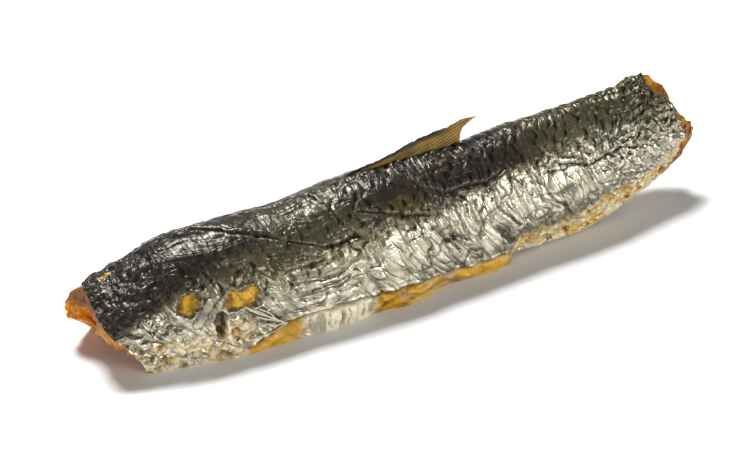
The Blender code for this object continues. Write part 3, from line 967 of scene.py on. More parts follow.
            # Painted shade along each tear's border, and over the whole of a tear that shows no meat.
            tear_shade = np.maximum(tear_shade, 0.8 * tear.gold * hump(within, 0.03, 0.10))
            tear_shade = np.maximum(tear_shade, inside * (1 - tear.gold))
            raw = np.maximum(raw, inside * tear.gold)
        height += raw * 0.25 * grain.rough(x / 1.4, around / 1.0, 3, 101)
        knobbly = 0.7 + 0.45 * grain.rough(x / 1.3, around / 1.3, 3, 105)
        for lump in LUMPS:
            gap = distance_to_path(x, around, lump.path) / (lump.half_width * (0.75 + 0.35 * knobbly))
            dome = np.sqrt(np.clip(1 - gap**2, 0, 1))
            height += lump.height * dome * knobbly
            cover = smooth_step(dome, 0.15, 0.6)
            raw = np.maximum(raw, cover * (1 - lump.pale))
            gristle = np.maximum(gristle, cover * lump.pale)
            # Painted shade round the foot of the gristle.
            tear_shade = np.maximum(tear_shade * (1 - cover), 0.8 * hump(gap, 1.15, 0.2))
        return height, raw, tear_shade, gristle

    def olive(self, place: SkinPlaces) -> np.ndarray:
        """How olive the dark skin is.

        Args:
            place: the places.

        Returns:
            The share from 0 to 1.
        """
        patches = self.grain.rough(place.x / 12, place.around / 6, 4, 103)
        spots = 0.8 * hump(place.x, 72, 14) + 0.7 * hump(place.x, 131, 12)
        olive = smooth_step(patches + spots, 0.25, 1.1)
        return olive * smooth_step(place.x, 14, 34) * smooth_step(place.down, 4, 9)

    def crease_lines(self, place: SkinPlaces, zone: Zones, web: Web, pale: np.ndarray) -> np.ndarray:
        """Painted shade in the creases, and the dark edges of the scales.

        Args:
            place: the places.
            zone: the kinds of skin there.
            web: the patterns there.
            pale: how pale the lip is.

        Returns:
            How dark each place is by them, from 0 to 1.
        """
        ragged = smooth_step(self.grain.rough(place.x / 2.4, place.around / 1.8, 2, 104), -0.9, -0.2)
        netted = smooth_step(zone.back, 0.02, 0.22) * ragged
        netted *= (1 - 0.8 * zone.streaks) * (1 - 0.7 * zone.head)
        golden = zone.lip * (1 - pale) * (1 - zone.vent)
        return np.max([
            zone.flank * web.main.line,
            zone.flank * 0.75 * web.plate_line,
            zone.flank * 0.35 * self.firm(place) * web.fine.line,
            zone.flank * 0.8 * web.cross.line,
            zone.rumple * (0.6 + 0.4 * zone.back) * np.maximum(web.steep.line, 0.8 * web.flat.line),
            zone.fibres * web.strand.line,
            zone.back * zone.streaks * 0.9 * web.thread.line,
            0.6 * zone.lip * pale * web.pleat.line + 0.6 * golden * web.strand.line,
            netted * web.scale_mark,
        ], axis=0)

    def creases(self, place: SkinPlaces, kind: CreaseKind) -> Creases:
        """Thin winding creases, which start and end here and there.

        Args:
            place: the places.
            kind: the kind of crease.

        Returns:
            The creases at each place.
        """
        x, y = place.shifted
        u = (place.bent if kind.bends else x) / kind.along + kind.shift[0]
        v = y / kind.around + kind.shift[1]
        swell = self.grain.swell(u, v, kind.channel)
        there = smooth_step(self.grain.swell(u / 2.1, v / 1.4 + 11, kind.channel + 1), -0.95, -0.2)
        return Creases(hump(swell, 0.0, kind.width) * there, np.tanh(swell / (1.6 * kind.width)) * there)

    def scales(self, x: np.ndarray, around: np.ndarray) -> tuple[np.ndarray, np.ndarray]:
        """The net of the scales.

        Args:
            x: X of the places.
            around: millimetres round from the ridge.

        Returns:
            How much each place lies on the dark rear edge of a scale, and how domed the scale is there.
        """
        pitch, row = self.scale_pitch, self.scale_row
        mark, dome = np.zeros(np.shape(x)), np.zeros(np.shape(x))
        for step in (-1, 0, 1):
            line = np.floor(around / row) + step
            shift = 0.5 * (line % 2) + 0.3 * (self.grain.chance(line, line, 110) - 0.5)
            cell = np.floor(x / pitch - shift)
            middle_x, middle_y = (cell + shift + 0.25) * pitch, (line + 0.5) * row
            reach = np.hypot((x - middle_x) / (0.72 * pitch), (around - middle_y) / (0.95 * row))
            there = smooth_step(self.grain.chance(cell, line, 111), 0.0, 0.35)
            arc = hump(reach, 0.80, 0.26) * (x > middle_x) * (0.2 + 0.8 * hump(around, middle_y, 0.55 * row))
            mark = np.maximum(mark, arc * there)
            dome = np.maximum(dome, np.clip(1 - reach**2, 0, 1))
        return smooth_step(mark, 0.3, 0.65), dome


def nearby(values: np.ndarray, reach: int, summary: Callable[..., np.ndarray]) -> np.ndarray:
    """Sums up what is near each place of a grid.

    Args:
        values: the grid.
        reach: how many steps away still count.
        summary: what sums the values up, such as np.min or np.mean.

    Returns:
        One value for each place.
    """
    for axis in (0, 1):
        padded = np.pad(values, [(reach, reach) if axis == a else (0, 0) for a in (0, 1)], mode="edge")
        length = values.shape[axis]
        steps = [np.take(padded, range(k, k + length), axis=axis) for k in range(2 * reach + 1)]
        values = summary(steps, axis=0)
    return values


class PieceMesh:
    """Gathers a closed piece's vertices, faces and marks, and makes its object."""

    def __init__(self, name: str) -> None:
        """Starts an empty piece of that name."""
        self.name = name
        self.points: list[np.ndarray] = []
        self.faces: list[tuple[int, ...]] = []
        self.count = 0

    def add_points(self, points: np.ndarray) -> np.ndarray:
        """Adds points.

        Args:
            points: a grid of points, in millimetres.

        Returns:
            Their numbers, in the same grid.
        """
        numbers = np.arange(self.count, self.count + points[..., 0].size).reshape(points.shape[:-1])
        self.points.append(points.reshape(-1, 3))
        self.count += numbers.size
        return numbers

    def add_quads(self, numbers: np.ndarray, flip: bool = False) -> None:
        """Joins a grid of points by quads.

        Args:
            numbers: the grid's numbers; the quads face the way of its rows crossed by its columns.
            flip: whether they face the other way.
        """
        corners = [numbers[:-1, :-1], numbers[1:, :-1], numbers[1:, 1:], numbers[:-1, 1:]]
        if flip:
            corners.reverse()
        self.faces.extend(map(tuple, np.stack(corners, axis=-1).reshape(-1, 4).tolist()))

    def make(self, marks: dict[str, np.ndarray], sharp: np.ndarray | None = None) -> bpy.types.Object:
        """Makes the object, smooth, in metres.

        Args:
            marks: values for the points, by the name of their attribute.
            sharp: numbers of the points whose common edges are sharp.

        Returns:
            The piece's object.
        """
        mesh = bpy.data.meshes.new(self.name)
        mesh.from_pydata(in_metres(np.concatenate(self.points)).tolist(), [], self.faces)
        for name, values in marks.items():
            attribute = mesh.attributes.new(name, "FLOAT", "POINT")
            attribute.data.foreach_set("value", values.astype(np.float32).ravel())
        mesh.shade_smooth()
        if sharp is not None:
            on_border = np.zeros(self.count, bool)
            on_border[sharp] = True
            ends = np.empty(2 * len(mesh.edges), np.int32)
            mesh.edges.foreach_get("vertices", ends)
            is_sharp = on_border[ends.reshape(-1, 2)].all(axis=1)
            mesh.attributes.new("sharp_edge", "BOOLEAN", "EDGE").data.foreach_set("value", is_sharp)
        piece = bpy.data.objects.new(self.name, mesh)
        bpy.context.scene.collection.objects.link(piece)
        return piece


def keep_on_fish(
    piece: bpy.types.Object, material: bpy.types.Material, instead: bool = False
) -> None:
    """Finishes a piece and reports it.

    Args:
        piece: the piece's object.
        material: its finish.
        instead: whether it stands for the plain solid.
    """
    piece.data.materials.clear()
    piece.data.materials.append(material)
    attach(piece, BODY)
    if instead:
        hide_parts(NODE)
    LOG.info("%s: %d faces", piece.name, len(piece.data.polygons))


@dataclass(frozen=True)
class SkinPanel:
    """A closed sheet of skin between two shares of the way round, its ends torn back from the cuts."""

    name: str
    start: float
    end: float
    columns: int
    rows: int = 576
    thickness: float = 0.25
    weave: int = 4  # how many fine steps make one step of the underside
    short: float = 0.1  # how far it stops short of the cuts
    head_reach: float = 14.0  # how far from a cut its torn end is felt
    tail_reach: float = 20.0
    crumple: int = 3  # how many steps round a place tell whether it lies high or low
    full_hollow: float = 0.35  # how far under its surroundings a place counts as quite hollow
    full_crest: float = 0.30  # how far above them it counts as a crest
    grain: Grain = Grain(23)

    def places(self) -> tuple[np.ndarray, np.ndarray]:
        """The panel's grid of points.

        Returns:
            Their X, and their share of the way round.
        """
        share = np.linspace(self.start, self.end, self.columns + 1)
        along = np.linspace(0, 1, self.rows + 1)[:, None]
        around = share * FLANK
        head_frays = np.clip(0.8 * self.grain.rough(around / 2.2, 0 * around, 3, 2), 0, 2)
        tail_frays = np.clip(0.9 * self.grain.rough(around / 2.4, 0 * around + 9, 3, 3), 0, 2)
        head = guide(HEAD_CUT, 1, share) + self.short
        tail = guide(TAIL_CUT, 1, share) - self.short
        x = head + (tail - head) * along
        near_head = np.clip(1 - (x - head) / self.head_reach, 0, 1) ** 2
        x = x + (guide(HEAD_BARE, 1, share) + head_frays) * near_head
        near_tail = np.clip(1 - (tail - x) / self.tail_reach, 0, 1) ** 2
        x = x - (guide(TAIL_BARE, 1, share) + tail_frays) * near_tail
        return x, np.broadcast_to(share, x.shape)

    def build(self, form: FishForm, relief: SkinRelief, material: bpy.types.Material) -> bpy.types.Object:
        """Makes the panel.

        Args:
            form: the fish's form.
            relief: the skin's relief.
            material: its finish.

        Returns:
            The panel's object.
        """
        x, share = self.places()
        skin = relief.at(x, share)
        height = skin.height
        out = form.skin.outward(x, share)
        ground = form.skin.at(x, share)
        top = ground + out * height[..., None]
        top[..., 2] = np.maximum(top[..., 2], 0.0)
        piece = PieceMesh(self.name)
        outer = piece.add_points(top)
        piece.add_quads(outer)
        step = self.weave
        low = nearby(height, step + 1, np.min) - self.thickness
        under = (ground + out * low[..., None])[::step, ::step]
        under[..., 2] = np.maximum(under[..., 2], 0.02)
        inner = piece.add_points(under)
        piece.add_quads(inner, flip=True)
        fine = self.border(outer)
        coarse = self.border(inner)
        for k in range(len(coarse) - 1):
            for m in range(step):
                near = coarse[k] if m < step // 2 else coarse[k + 1]
                piece.faces.append((int(fine[k * step + m + 1]), int(fine[k * step + m]), int(near)))
            piece.faces.append((int(fine[k * step + step // 2]), int(coarse[k]), int(coarse[k + 1])))
        # Where the skin lies under or over its surroundings: the finish paints shade into the hollows and
        # highlights onto the crests.
        above = height - nearby(height, self.crumple, np.mean)
        hollow, crest = np.clip(-above / self.full_hollow, 0, 1), np.clip(above / self.full_crest, 0, 1)
        marks = skin.marks() | {"hollow": hollow, "crest": crest}
        marks = {name: np.concatenate([v.ravel(), v[::step, ::step].ravel()]) for name, v in marks.items()}
        made = piece.make(marks, sharp=fine)
        keep_on_fish(made, material, instead=True)
        return made

    @staticmethod
    def border(numbers: np.ndarray) -> np.ndarray:
        """The numbers round a grid's border, ending where they start."""
        return np.concatenate([numbers[:-1, 0], numbers[-1, :-1], numbers[:0:-1, -1], numbers[0, ::-1]])


@dataclass(frozen=True)
class Flesh:
    """The meat under the skin: its cut faces, the band that shows past the skin, and the cavity's wall."""

    columns: int = 120
    rows: int = 300
    rings: int = 10
    sink: float = 0.45  # how far it lies under the skin's relief
    cut_bulge: float = 0.7
    grain: Grain = Grain(37)

    def places(self, tail_cut: tuple) -> tuple[np.ndarray, np.ndarray]:
        """The grid of points, whose rows lie closer near the cuts.

        Args:
            tail_cut: where the grid ends at the tail.

        Returns:
            X and share of the points.
        """
        share = np.linspace(-1, 1, self.columns + 1)
        even = np.linspace(0, 1, self.rows + 1)
        along = (0.45 * even + 0.55 * (0.5 - 0.5 * np.cos(math.pi * even)))[:, None]
        head, tail = guide(HEAD_CUT, 1, share), guide(tail_cut, 1, share)
        frayed = 0.5 * self.grain.rough(share * FLANK / 2.2, 0 * share, 3, 1)
        x = head + (tail - head) * along
        x = x + frayed * (hump(along, 0, 0.03) + hump(along, 1, 0.03))
        return x, np.broadcast_to(share, x.shape)

    def build(self, form: FishForm, relief: SkinRelief, material: bpy.types.Material) -> bpy.types.Object:
        """Makes the meat as one closed piece.

        Args:
            form: the fish's form.
            relief: the skin's relief, under which the meat stays.
            material: its finish.

        Returns:
            The meat's object.
        """
        x, share = self.places(TAIL_CUT)
        around = share * FLANK
        out = form.skin.outward(x, share)
        below = nearby(relief.at(x, share).height, 3, np.min) - self.sink
        to_cut = np.minimum(x - x[:1], x[-1:] - x)
        bare = 1 - smooth_step(to_cut, 3.5, 10.0)
        lumps = 0.35 * self.grain.rough(x / 2.4, around / 1.6, 3, 5) - 0.35
        height = below * (1 - bare) + np.minimum(lumps, below) * bare
        outer_points = form.skin.at(x, share) + out * height[..., None]
        inset = 0.5 * (1 - 2 * np.linspace(0, 1, self.rows + 1))[:, None]
        wall_x = self.places(CAVITY_TAIL_CUT)[0] + inset
        wall = form.cavity.at(wall_x, share)
        wall_out = form.cavity.outward(wall_x, share)
        # The ribs' marks and the crumpled lining of the cavity.
        ribs = self.grain.ridges((wall_x - 0.35 * np.abs(around)) / 2.6, around / 30, 2, 6)
        lining = 0.5 * ribs + 0.3 * self.grain.rough(wall_x / 3, around / 3, 3, 7) - 0.1
        open_belly = 1 - smooth_step(wall_x, 88, 102)
        wall = wall - wall_out * (lining * open_belly)[..., None]
        outer_points[..., 2] = np.maximum(outer_points[..., 2], 0.03)
        wall[..., 2] = np.maximum(wall[..., 2], 0.03)
        piece = PieceMesh("flesh")
        outer = piece.add_points(outer_points)
        inner = piece.add_points(wall)
        piece.add_quads(outer)
        piece.add_quads(inner, flip=True)
        piece.add_quads(np.stack([inner[:, 0], outer[:, 0]], axis=1))
        piece.add_quads(np.stack([outer[:, -1], inner[:, -1]], axis=1))
        caps = [self.close_cut(piece, outer, inner, outer_points, wall, row) for row in (0, -1)]
        place_x, place_y, place_z = np.concatenate(piece.points).T
        at_head = place_x < 0
        on_cap, in_cavity = np.zeros(piece.count), np.zeros(piece.count)
        on_cap[np.concatenate([cap.ravel() for cap in caps])] = 1.0
        in_cavity[inner.ravel()] = 1.0
        rosy = (1 - in_cavity) * smooth_step(place_z, 11.5, 14.5) * at_head
        # Painted glow: the cut faces at the head, more towards the far side, take the cavity's vivid orange
        # as if light shone through the meat.
        glow = on_cap * at_head * (1 - rosy) * (0.25 + 0.75 * smooth_step(place_y, -4.0, 0.0))
        lining_and_glow = np.maximum(in_cavity * (1.0 - smooth_step(place_x, 92, 106)), glow)
        marks = {"lining_and_glow": lining_and_glow, "rosy": rosy, "brown": 1.0 - at_head}
        made = piece.make(marks)
        keep_on_fish(made, material, instead=True)
        return made

    def close_cut(
        self, piece: PieceMesh, outer: np.ndarray, inner: np.ndarray, skin: np.ndarray, wall: np.ndarray,
        row: int,
    ) -> np.ndarray:
        """Closes an end between the skin's edge and the cavity's edge with bulging, fibrous meat.

        Args:
            piece: the mesh that is made.
            outer: numbers of the outer points.
            inner: numbers of the cavity's points.
            skin: the outer points.
            wall: the cavity's points.
            row: which row of the grids is the end, 0 or -1.

        Returns:
            The numbers of the new points.
        """
        side = -1 if row == 0 else 1
        t = (np.arange(1, self.rings) / self.rings)[:, None, None]
        points = skin[row] * (1 - t) + wall[row] * t
        thickness = np.linalg.norm(wall[row] - skin[row], axis=-1)
        bulge = np.sin(math.pi * t[..., 0]) ** 0.7 * np.minimum(thickness / 8.0, 1.0)
        flakes = self.grain.plates(points[..., 1] / 2.2, points[..., 2] / 2.0, 8)
        tufts = 0.55 * self.grain.rough(points[..., 1] / 0.9, points[..., 2] / 0.9, 3, 9)
        rough = 0.7 * (flakes.tilt * 1.6 + tufts) - 0.35 * np.exp(-((flakes.border / 0.2) ** 2))
        fade = np.minimum(np.sin(math.pi * t[..., 0]) * 2, 1)
        points[..., 0] += side * (self.cut_bulge * bulge + rough * fade * np.minimum(thickness / 3.0, 1.0))
        middle = piece.add_points(points)
        rings = np.concatenate([outer[row][None], middle, inner[row][None]])
        piece.add_quads(rings, flip=row == 0)
        ends = rings[:, 0], rings[:, -1]
        for line, turn in zip(ends, (False, True)):
            fan = [int(n) for n in line]
            for a, b in zip(fan[1:-1], fan[2:]):
                corners = (fan[0], a, b)
                piece.faces.append(corners if turn != (row == 0) else corners[::-1])
        return middle


class Desk:
    """A material's node tree, with short calls for the nodes that the finishes use."""

    def __init__(self, name: str) -> None:
        """Starts a material of that name."""
        self.material = bpy.data.materials.new(name)
        self.material.use_nodes = True
        self.tree = self.material.node_tree
        self.shader = self.tree.nodes["Principled BSDF"]

    def node(self, kind: str, **settings: object) -> bpy.types.Node:
        """Adds a node.

        Args:
            kind: the node's type.
            settings: its properties.

        Returns:
            The node.
        """
        made = self.tree.nodes.new(kind)
        for name, value in settings.items():
            setattr(made, name, value)
        return made

    def fill(self, socket: Socket, value: object) -> None:
        """Links a socket, or sets its value.

        Args:
            socket: an input of a node.
            value: another node's output, a number or a colour.
        """
        if isinstance(value, Socket):
            self.tree.links.new(value, socket)
        elif isinstance(value, tuple) and len(value) == 3 and socket.type == "RGBA":
            socket.default_value = (*value, 1.0)
        else:
            socket.default_value = value

    def mark(self, name: str) -> Socket:
        """A mark of the piece's points."""
        return self.node("ShaderNodeAttribute", attribute_name=name).outputs["Fac"]

    def place(self, stretch: tuple[float, ...]) -> Socket:
        """The piece's coordinates.

        Args:
            stretch: what they are scaled by, along each of the piece's three axes or of the skin's two.

        Returns:
            The coordinates.
        """
        if len(stretch) == 3:
            place = self.node("ShaderNodeTexCoord").outputs["Object"]
        else:
            both = self.node("ShaderNodeCombineXYZ")
            self.fill(both.inputs["X"], self.mark("along"))
            self.fill(both.inputs["Y"], self.mark("aside"))
            place = both.outputs[0]
        mapping = self.node("ShaderNodeMapping")
        mapping.inputs["Scale"].default_value = (*stretch, 1.0)[:3]
        self.fill(mapping.inputs["Vector"], place)
        return mapping.outputs["Vector"]

    def noise(self, size: float, detail: float = 4.0, stretch: tuple[float, ...] = (1, 1, 1)) -> Socket:
        """Noise.

        Args:
            size: how many millimetres its swells are long.
            detail: how fine it gets.
            stretch: what the coordinates are scaled by.

        Returns:
            The noise from 0 to 1.
        """
        made = self.node("ShaderNodeTexNoise")
        self.fill(made.inputs["Vector"], self.place(stretch))
        made.inputs["Scale"].default_value = 1 / (size * MM)
        made.inputs["Detail"].default_value = detail
        return made.outputs["Fac"]

    def cells(self, size: float, stretch: tuple[float, ...] = (1, 1, 1)) -> Socket:
        """A cell pattern.

        Args:
            size: how many millimetres its cells are wide.
            stretch: what the coordinates are scaled by.

        Returns:
            The distance from the cells' borders.
        """
        made = self.node("ShaderNodeTexVoronoi", feature="DISTANCE_TO_EDGE")
        self.fill(made.inputs["Vector"], self.place(stretch))
        made.inputs["Scale"].default_value = 1 / (size * MM)
        return made.outputs["Distance"]

    def cracks(self, size: float, stretch: tuple[float, ...], width: float, often: float) -> Socket:
        """Thin lines between cells.

        Args:
            size: how many millimetres the cells are wide.
            stretch: what the coordinates are scaled by.
            width: how many millimetres the lines are wide.
            often: how much of them is there, from 0 to 1.

        Returns:
            1 in the middle of a line, 0 beside it.
        """
        line = self.spread(self.cells(size, stretch), 0.0, width / size, 1.0, 0.0)
        there = self.spread(self.noise(2.2 * size, 2.0, stretch), 0.62 - 0.3 * often, 0.72 - 0.3 * often)
        return self.times(line, there)

    def calc(self, operation: str, a: object, b: object = 0.0, clamp: bool = False) -> Socket:
        """Works out something from two values.

        Args:
            operation: what is done.
            a: the first value.
            b: the second.
            clamp: whether the result is held from 0 to 1.

        Returns:
            The result.
        """
        made = self.node("ShaderNodeMath", operation=operation, use_clamp=clamp)
        self.fill(made.inputs[0], a)
        self.fill(made.inputs[1], b)
        return made.outputs[0]

    def times(self, a: object, b: object) -> Socket:
        """The product of two values."""
        return self.calc("MULTIPLY", a, b)

    def most(self, first: object, *others: object) -> Socket:
        """The largest of some values."""
        return reduce(lambda a, b: self.calc("MAXIMUM", a, b), others, first)

    def spread(
        self, value: object, low: float, high: float, to_low: float = 0.0, to_high: float = 1.0
    ) -> Socket:
        """Brings a value from one range into another, and holds it there.

        Args:
            value: the value.
            low: where the first range starts.
            high: where it ends.
            to_low: what low becomes.
            to_high: what high becomes.

        Returns:
            The new value.
        """
        made = self.node("ShaderNodeMapRange")
        for socket, number in zip(made.inputs, (value, low, high, to_low, to_high)):
            self.fill(socket, number)
        return made.outputs[0]

    def blend(self, share: object, a: object, b: object) -> Socket:
        """A colour between two others.

        Args:
            share: how far it lies from the first to the second.
            a: the first.
            b: the second.

        Returns:
            The colour.
        """
        made = self.node("ShaderNodeMix", data_type="RGBA")
        self.fill(made.inputs["Factor"], share)
        self.fill(made.inputs[6], a)
        self.fill(made.inputs[7], b)
        return made.outputs[2]

    def bump(self, height: object, depth: float, strength: float = 1.0, under: object = None) -> Socket:
        """Bumps of the surface.

        Args:
            height: the bumps' height, from 0 to 1.
            depth: how many millimetres that is.
            strength: how much of it shows.
            under: the normal that they are added to.

        Returns:
            The new normal.
        """
        made = self.node("ShaderNodeBump")
        made.inputs["Strength"].default_value = strength
        made.inputs["Distance"].default_value = depth * MM
        self.fill(made.inputs["Height"], height)
        if under is not None:
            self.fill(made.inputs["Normal"], under)
        return made.outputs["Normal"]

    def dress(self, **values: object) -> bpy.types.Material:
        """Fills the shader's sockets.

        Args:
            values: what goes in each socket, which is named with underscores for spaces.

        Returns:
            The material.
        """
        for name, value in values.items():
            self.fill(self.shader.inputs[name.replace("_", " ")], value)
        return self.material


@dataclass(frozen=True)
class SkinFinish:
    """Oily smoked skin: a silver flank, a dark back, a golden belly, painted shade in every crease and
    hollow, and painted highlights on the crests.
    """

    silver: Colour = (0.68, 0.63, 0.47)
    ash: Colour = (0.36, 0.33, 0.235)
    graphite: Colour = (0.036, 0.032, 0.026)
    slate: Colour = (0.185, 0.163, 0.092)
    # The pale colour of the painted highlights on the flank's crests.
    glint: Colour = (0.80, 0.77, 0.67)
    olive: Colour = (0.110, 0.088, 0.034)
    milk: Colour = (0.96, 0.87, 0.66)
    gold: Colour = (0.76, 0.42, 0.028)
    butter: Colour = (0.84, 0.60, 0.20)
    amber: Colour = (0.46, 0.18, 0.008)
    cream: Colour = (0.90, 0.79, 0.55)
    ochre: Colour = (0.74, 0.40, 0.014)
    umber: Colour = (0.28, 0.12, 0.008)
    # The near black of the painted shade in the creases, cracks and hollows.
    shade_black: Colour = (0.012, 0.009, 0.006)

    def make(self) -> bpy.types.Material:
        """Builds the material.

        Returns:
            The smoked skin.
        """
        desk = Desk("smoked_skin")
        back, gold, raw = desk.mark("back"), desk.mark("gold"), desk.mark("raw")
        pale, olive, dark = desk.mark("pale"), desk.mark("olive"), desk.mark("dark")
        hollow, crest, fibres = desk.mark("hollow"), desk.mark("crest"), desk.mark("fibres")
        cloud = desk.noise(5.0, 5.0)
        speck = desk.noise(0.7, 3.0)
        flank = desk.blend(desk.spread(cloud, 0.35, 0.68), self.ash, self.silver)
        # Painted highlights: the crests of the relief are lightened towards a pale glint on the flank and
        # towards ash on the back.
        flank = desk.blend(desk.times(crest, 0.55), flank, self.glint)
        top = desk.blend(desk.times(olive, desk.spread(cloud, 0.3, 0.6)), self.graphite, self.olive)
        top = desk.blend(desk.times(crest, 0.2), top, self.ash)
        shade = desk.blend(desk.spread(back, 0.35, 0.95), self.slate, top)
        colour = desk.blend(desk.spread(back, 0.02, 0.5), flank, shade)
        warm = desk.blend(desk.spread(desk.noise(2.0, 4.0), 0.52, 0.76), self.gold, self.butter)
        warm = desk.blend(desk.spread(cloud, 0.5, 0.7, 0.0, 0.8), warm, self.amber)
        colour = desk.blend(gold, colour, warm)
        meat = desk.blend(desk.spread(desk.noise(2.2, 4.0), 0.34, 0.54), self.umber, self.ochre)
        colour = desk.blend(raw, colour, meat)
        colour = desk.blend(pale, colour, desk.blend(desk.spread(speck, 0.3, 0.7), self.cream, self.milk))
        plain = desk.most(raw, pale, desk.spread(gold, 0.2, 0.6))
        # Painted shade: the creases, the tears and the hollows of the relief are darkened towards the shade
        # colour, less on the dark back.
        hollow_shade = desk.times(hollow, desk.spread(back, 0.1, 0.6, 0.8, 0.45))
        crease_shade = desk.most(desk.times(dark, 0.97), hollow_shade)
        crease_shade = desk.calc("MULTIPLY", crease_shade, desk.spread(speck, 0.2, 0.6, 0.65, 1.0), clamp=True)
        # The finest cracks, which turn along the fish where its skin is fibrous; they are painted with the
        # dark colour of shade in a crack.
        steep = desk.cracks(2.4, (1.0, 0.18), 0.14, 0.85)
        flat = desk.cracks(1.1, (0.14, 1.0), 0.12, 0.6)
        short = desk.cracks(0.8, (1.0, 0.5), 0.11, 0.3)
        steep = desk.times(steep, desk.spread(fibres, 0.2, 0.8, 1.0, 0.15))
        flat = desk.times(flat, desk.spread(fibres, 0.1, 0.8, 0.5, 1.0))
        cracked = desk.most(steep, flat, desk.times(short, 0.6))
        shown = desk.times(desk.spread(plain, 0.0, 1.0, 0.85, 0.12), desk.spread(back, 0.05, 0.4, 1.0, 0.3))
        colour = desk.blend(desk.most(crease_shade, desk.times(cracked, shown)), colour, self.shade_black)
        bare = desk.calc("SUBTRACT", 1.0, plain, clamp=True)
        metal = desk.times(bare, desk.spread(back, 0.0, 0.8, 0.85, 0.5))
        mottled = desk.spread(desk.noise(1.6, 4.0), 0.3, 0.7, 0.20, 0.34)
        rough = desk.calc("ADD", mottled, desk.spread(back, 0.2, 0.8, 0.0, 0.02))
        fine = desk.bump(desk.noise(0.7, 5.0, (1.0, 0.45)), 0.17, 0.85)
        skin = desk.bump(desk.calc("SUBTRACT", 1.0, cracked), 0.12, 0.8, fine)
        return desk.dress(
            Base_Color=colour, Metallic=metal, Roughness=rough, Normal=skin, Specular_IOR_Level=0.28,
            Coat_Weight=0.04, Coat_Roughness=0.22,
        )


@dataclass(frozen=True)
class FleshFinish:
    """Cold-smoked meat: amber, translucent, in short fibres, with an oily shine."""

    amber: Colour = (0.52, 0.22, 0.010)
    rust: Colour = (0.17, 0.055, 0.005)
    straw: Colour = (0.62, 0.36, 0.04)
    rose: Colour = (0.21, 0.085, 0.035)
    flame: Colour = (0.74, 0.22, 0.002)
    bark: Colour = (0.13, 0.050, 0.005)

    def make(self) -> bpy.types.Material:
        """Builds the material.

        Returns:
            The smoked meat.
        """
        desk = Desk("smoked_flesh")
        rosy, lining_and_glow, brown = desk.mark("rosy"), desk.mark("lining_and_glow"), desk.mark("brown")
        cloud = desk.noise(3.0, 5.0)
        fibre = desk.noise(0.6, 3.0, (0.5, 1.0, 1.0))
        colour = desk.blend(desk.spread(cloud, 0.35, 0.65), self.rust, self.amber)
        colour = desk.blend(desk.spread(fibre, 0.45, 0.75, 0.0, 0.7), colour, self.straw)
        colour = desk.blend(desk.times(brown, desk.spread(cloud, 0.3, 0.65, 0.85, 0.3)), colour, self.bark)
        colour = desk.blend(desk.times(rosy, 0.8), colour, self.rose)
        # The cavity's vivid orange, partly its own colour and partly painted glow of light through the meat,
        # which the head's cut faces share.
        lining = desk.blend(desk.spread(cloud, 0.5, 0.85, 0.0, 0.8), self.flame, self.straw)
        colour = desk.blend(desk.times(lining_and_glow, 0.92), colour, lining)
        rough = desk.spread(cloud, 0.3, 0.7, 0.3, 0.5)
        normal = desk.bump(fibre, 0.25, 0.9)
        return desk.dress(
            Base_Color=colour, Roughness=rough, Normal=normal, Subsurface_Weight=0.12, Subsurface_Scale=0.001,
            Specular_IOR_Level=0.25, Coat_Weight=0.08, Coat_Roughness=0.2,
        )


@dataclass(frozen=True)
class BellyFinish:
    """The fatty beads of the belly's edge: cream and gold, waxy."""

    cream: Colour = (0.96, 0.88, 0.62)
    gold: Colour = (0.70, 0.44, 0.07)

    def make(self) -> bpy.types.Material:
        """Builds the material.

        Returns:
            The fatty skin.
        """
        desk = Desk("belly_edge")
        cloud = desk.noise(2.5, 4.0)
        colour = desk.blend(desk.spread(cloud, 0.38, 0.62), self.gold, self.cream)
        normal = desk.bump(desk.noise(0.4, 3.0), 0.10, 0.8)
        return desk.dress(
            Base_Color=colour, Roughness=desk.spread(cloud, 0.3, 0.7, 0.3, 0.45), Normal=normal,
            Specular_IOR_Level=0.35, Subsurface_Weight=0.12, Subsurface_Scale=0.001, Coat_Weight=0.1,
            Coat_Roughness=0.2,
        )


@dataclass(frozen=True)
class FinFinish:
    """A dried fin: a golden, cloudy membrane with browner rays."""

    name: str = "fin_rays"
    membrane: Colour = (0.25, 0.145, 0.020)
    brown: Colour = (0.060, 0.036, 0.008)
    pale: Colour = (0.74, 0.50, 0.14)
    smoke: Colour = (0.012, 0.011, 0.007)

    def make(self) -> bpy.types.Material:
        """Builds the material.

        Returns:
            The dried fin.
        """
        desk = Desk(self.name)
        rim, ray = desk.mark("rim"), desk.mark("ray")
        cloud = desk.noise(4.0, 4.0, (0.5, 1.0, 1.0))
        colour = desk.blend(desk.spread(cloud, 0.3, 0.62), self.brown, self.membrane)
        colour = desk.blend(desk.times(ray, desk.spread(cloud, 0.3, 0.7, 0.5, 0.95)), colour, self.pale)
        colour = desk.blend(desk.times(rim, 0.92), colour, self.smoke)
        normal = desk.bump(desk.noise(0.5, 3.0, (0.3, 1.0, 1.0)), 0.12, 0.8)
        return desk.dress(
            Base_Color=colour, Roughness=desk.spread(cloud, 0.3, 0.7, 0.3, 0.5), Normal=normal,
            Specular_IOR_Level=0.25, Subsurface_Weight=0.05, Subsurface_Scale=0.001,
        )


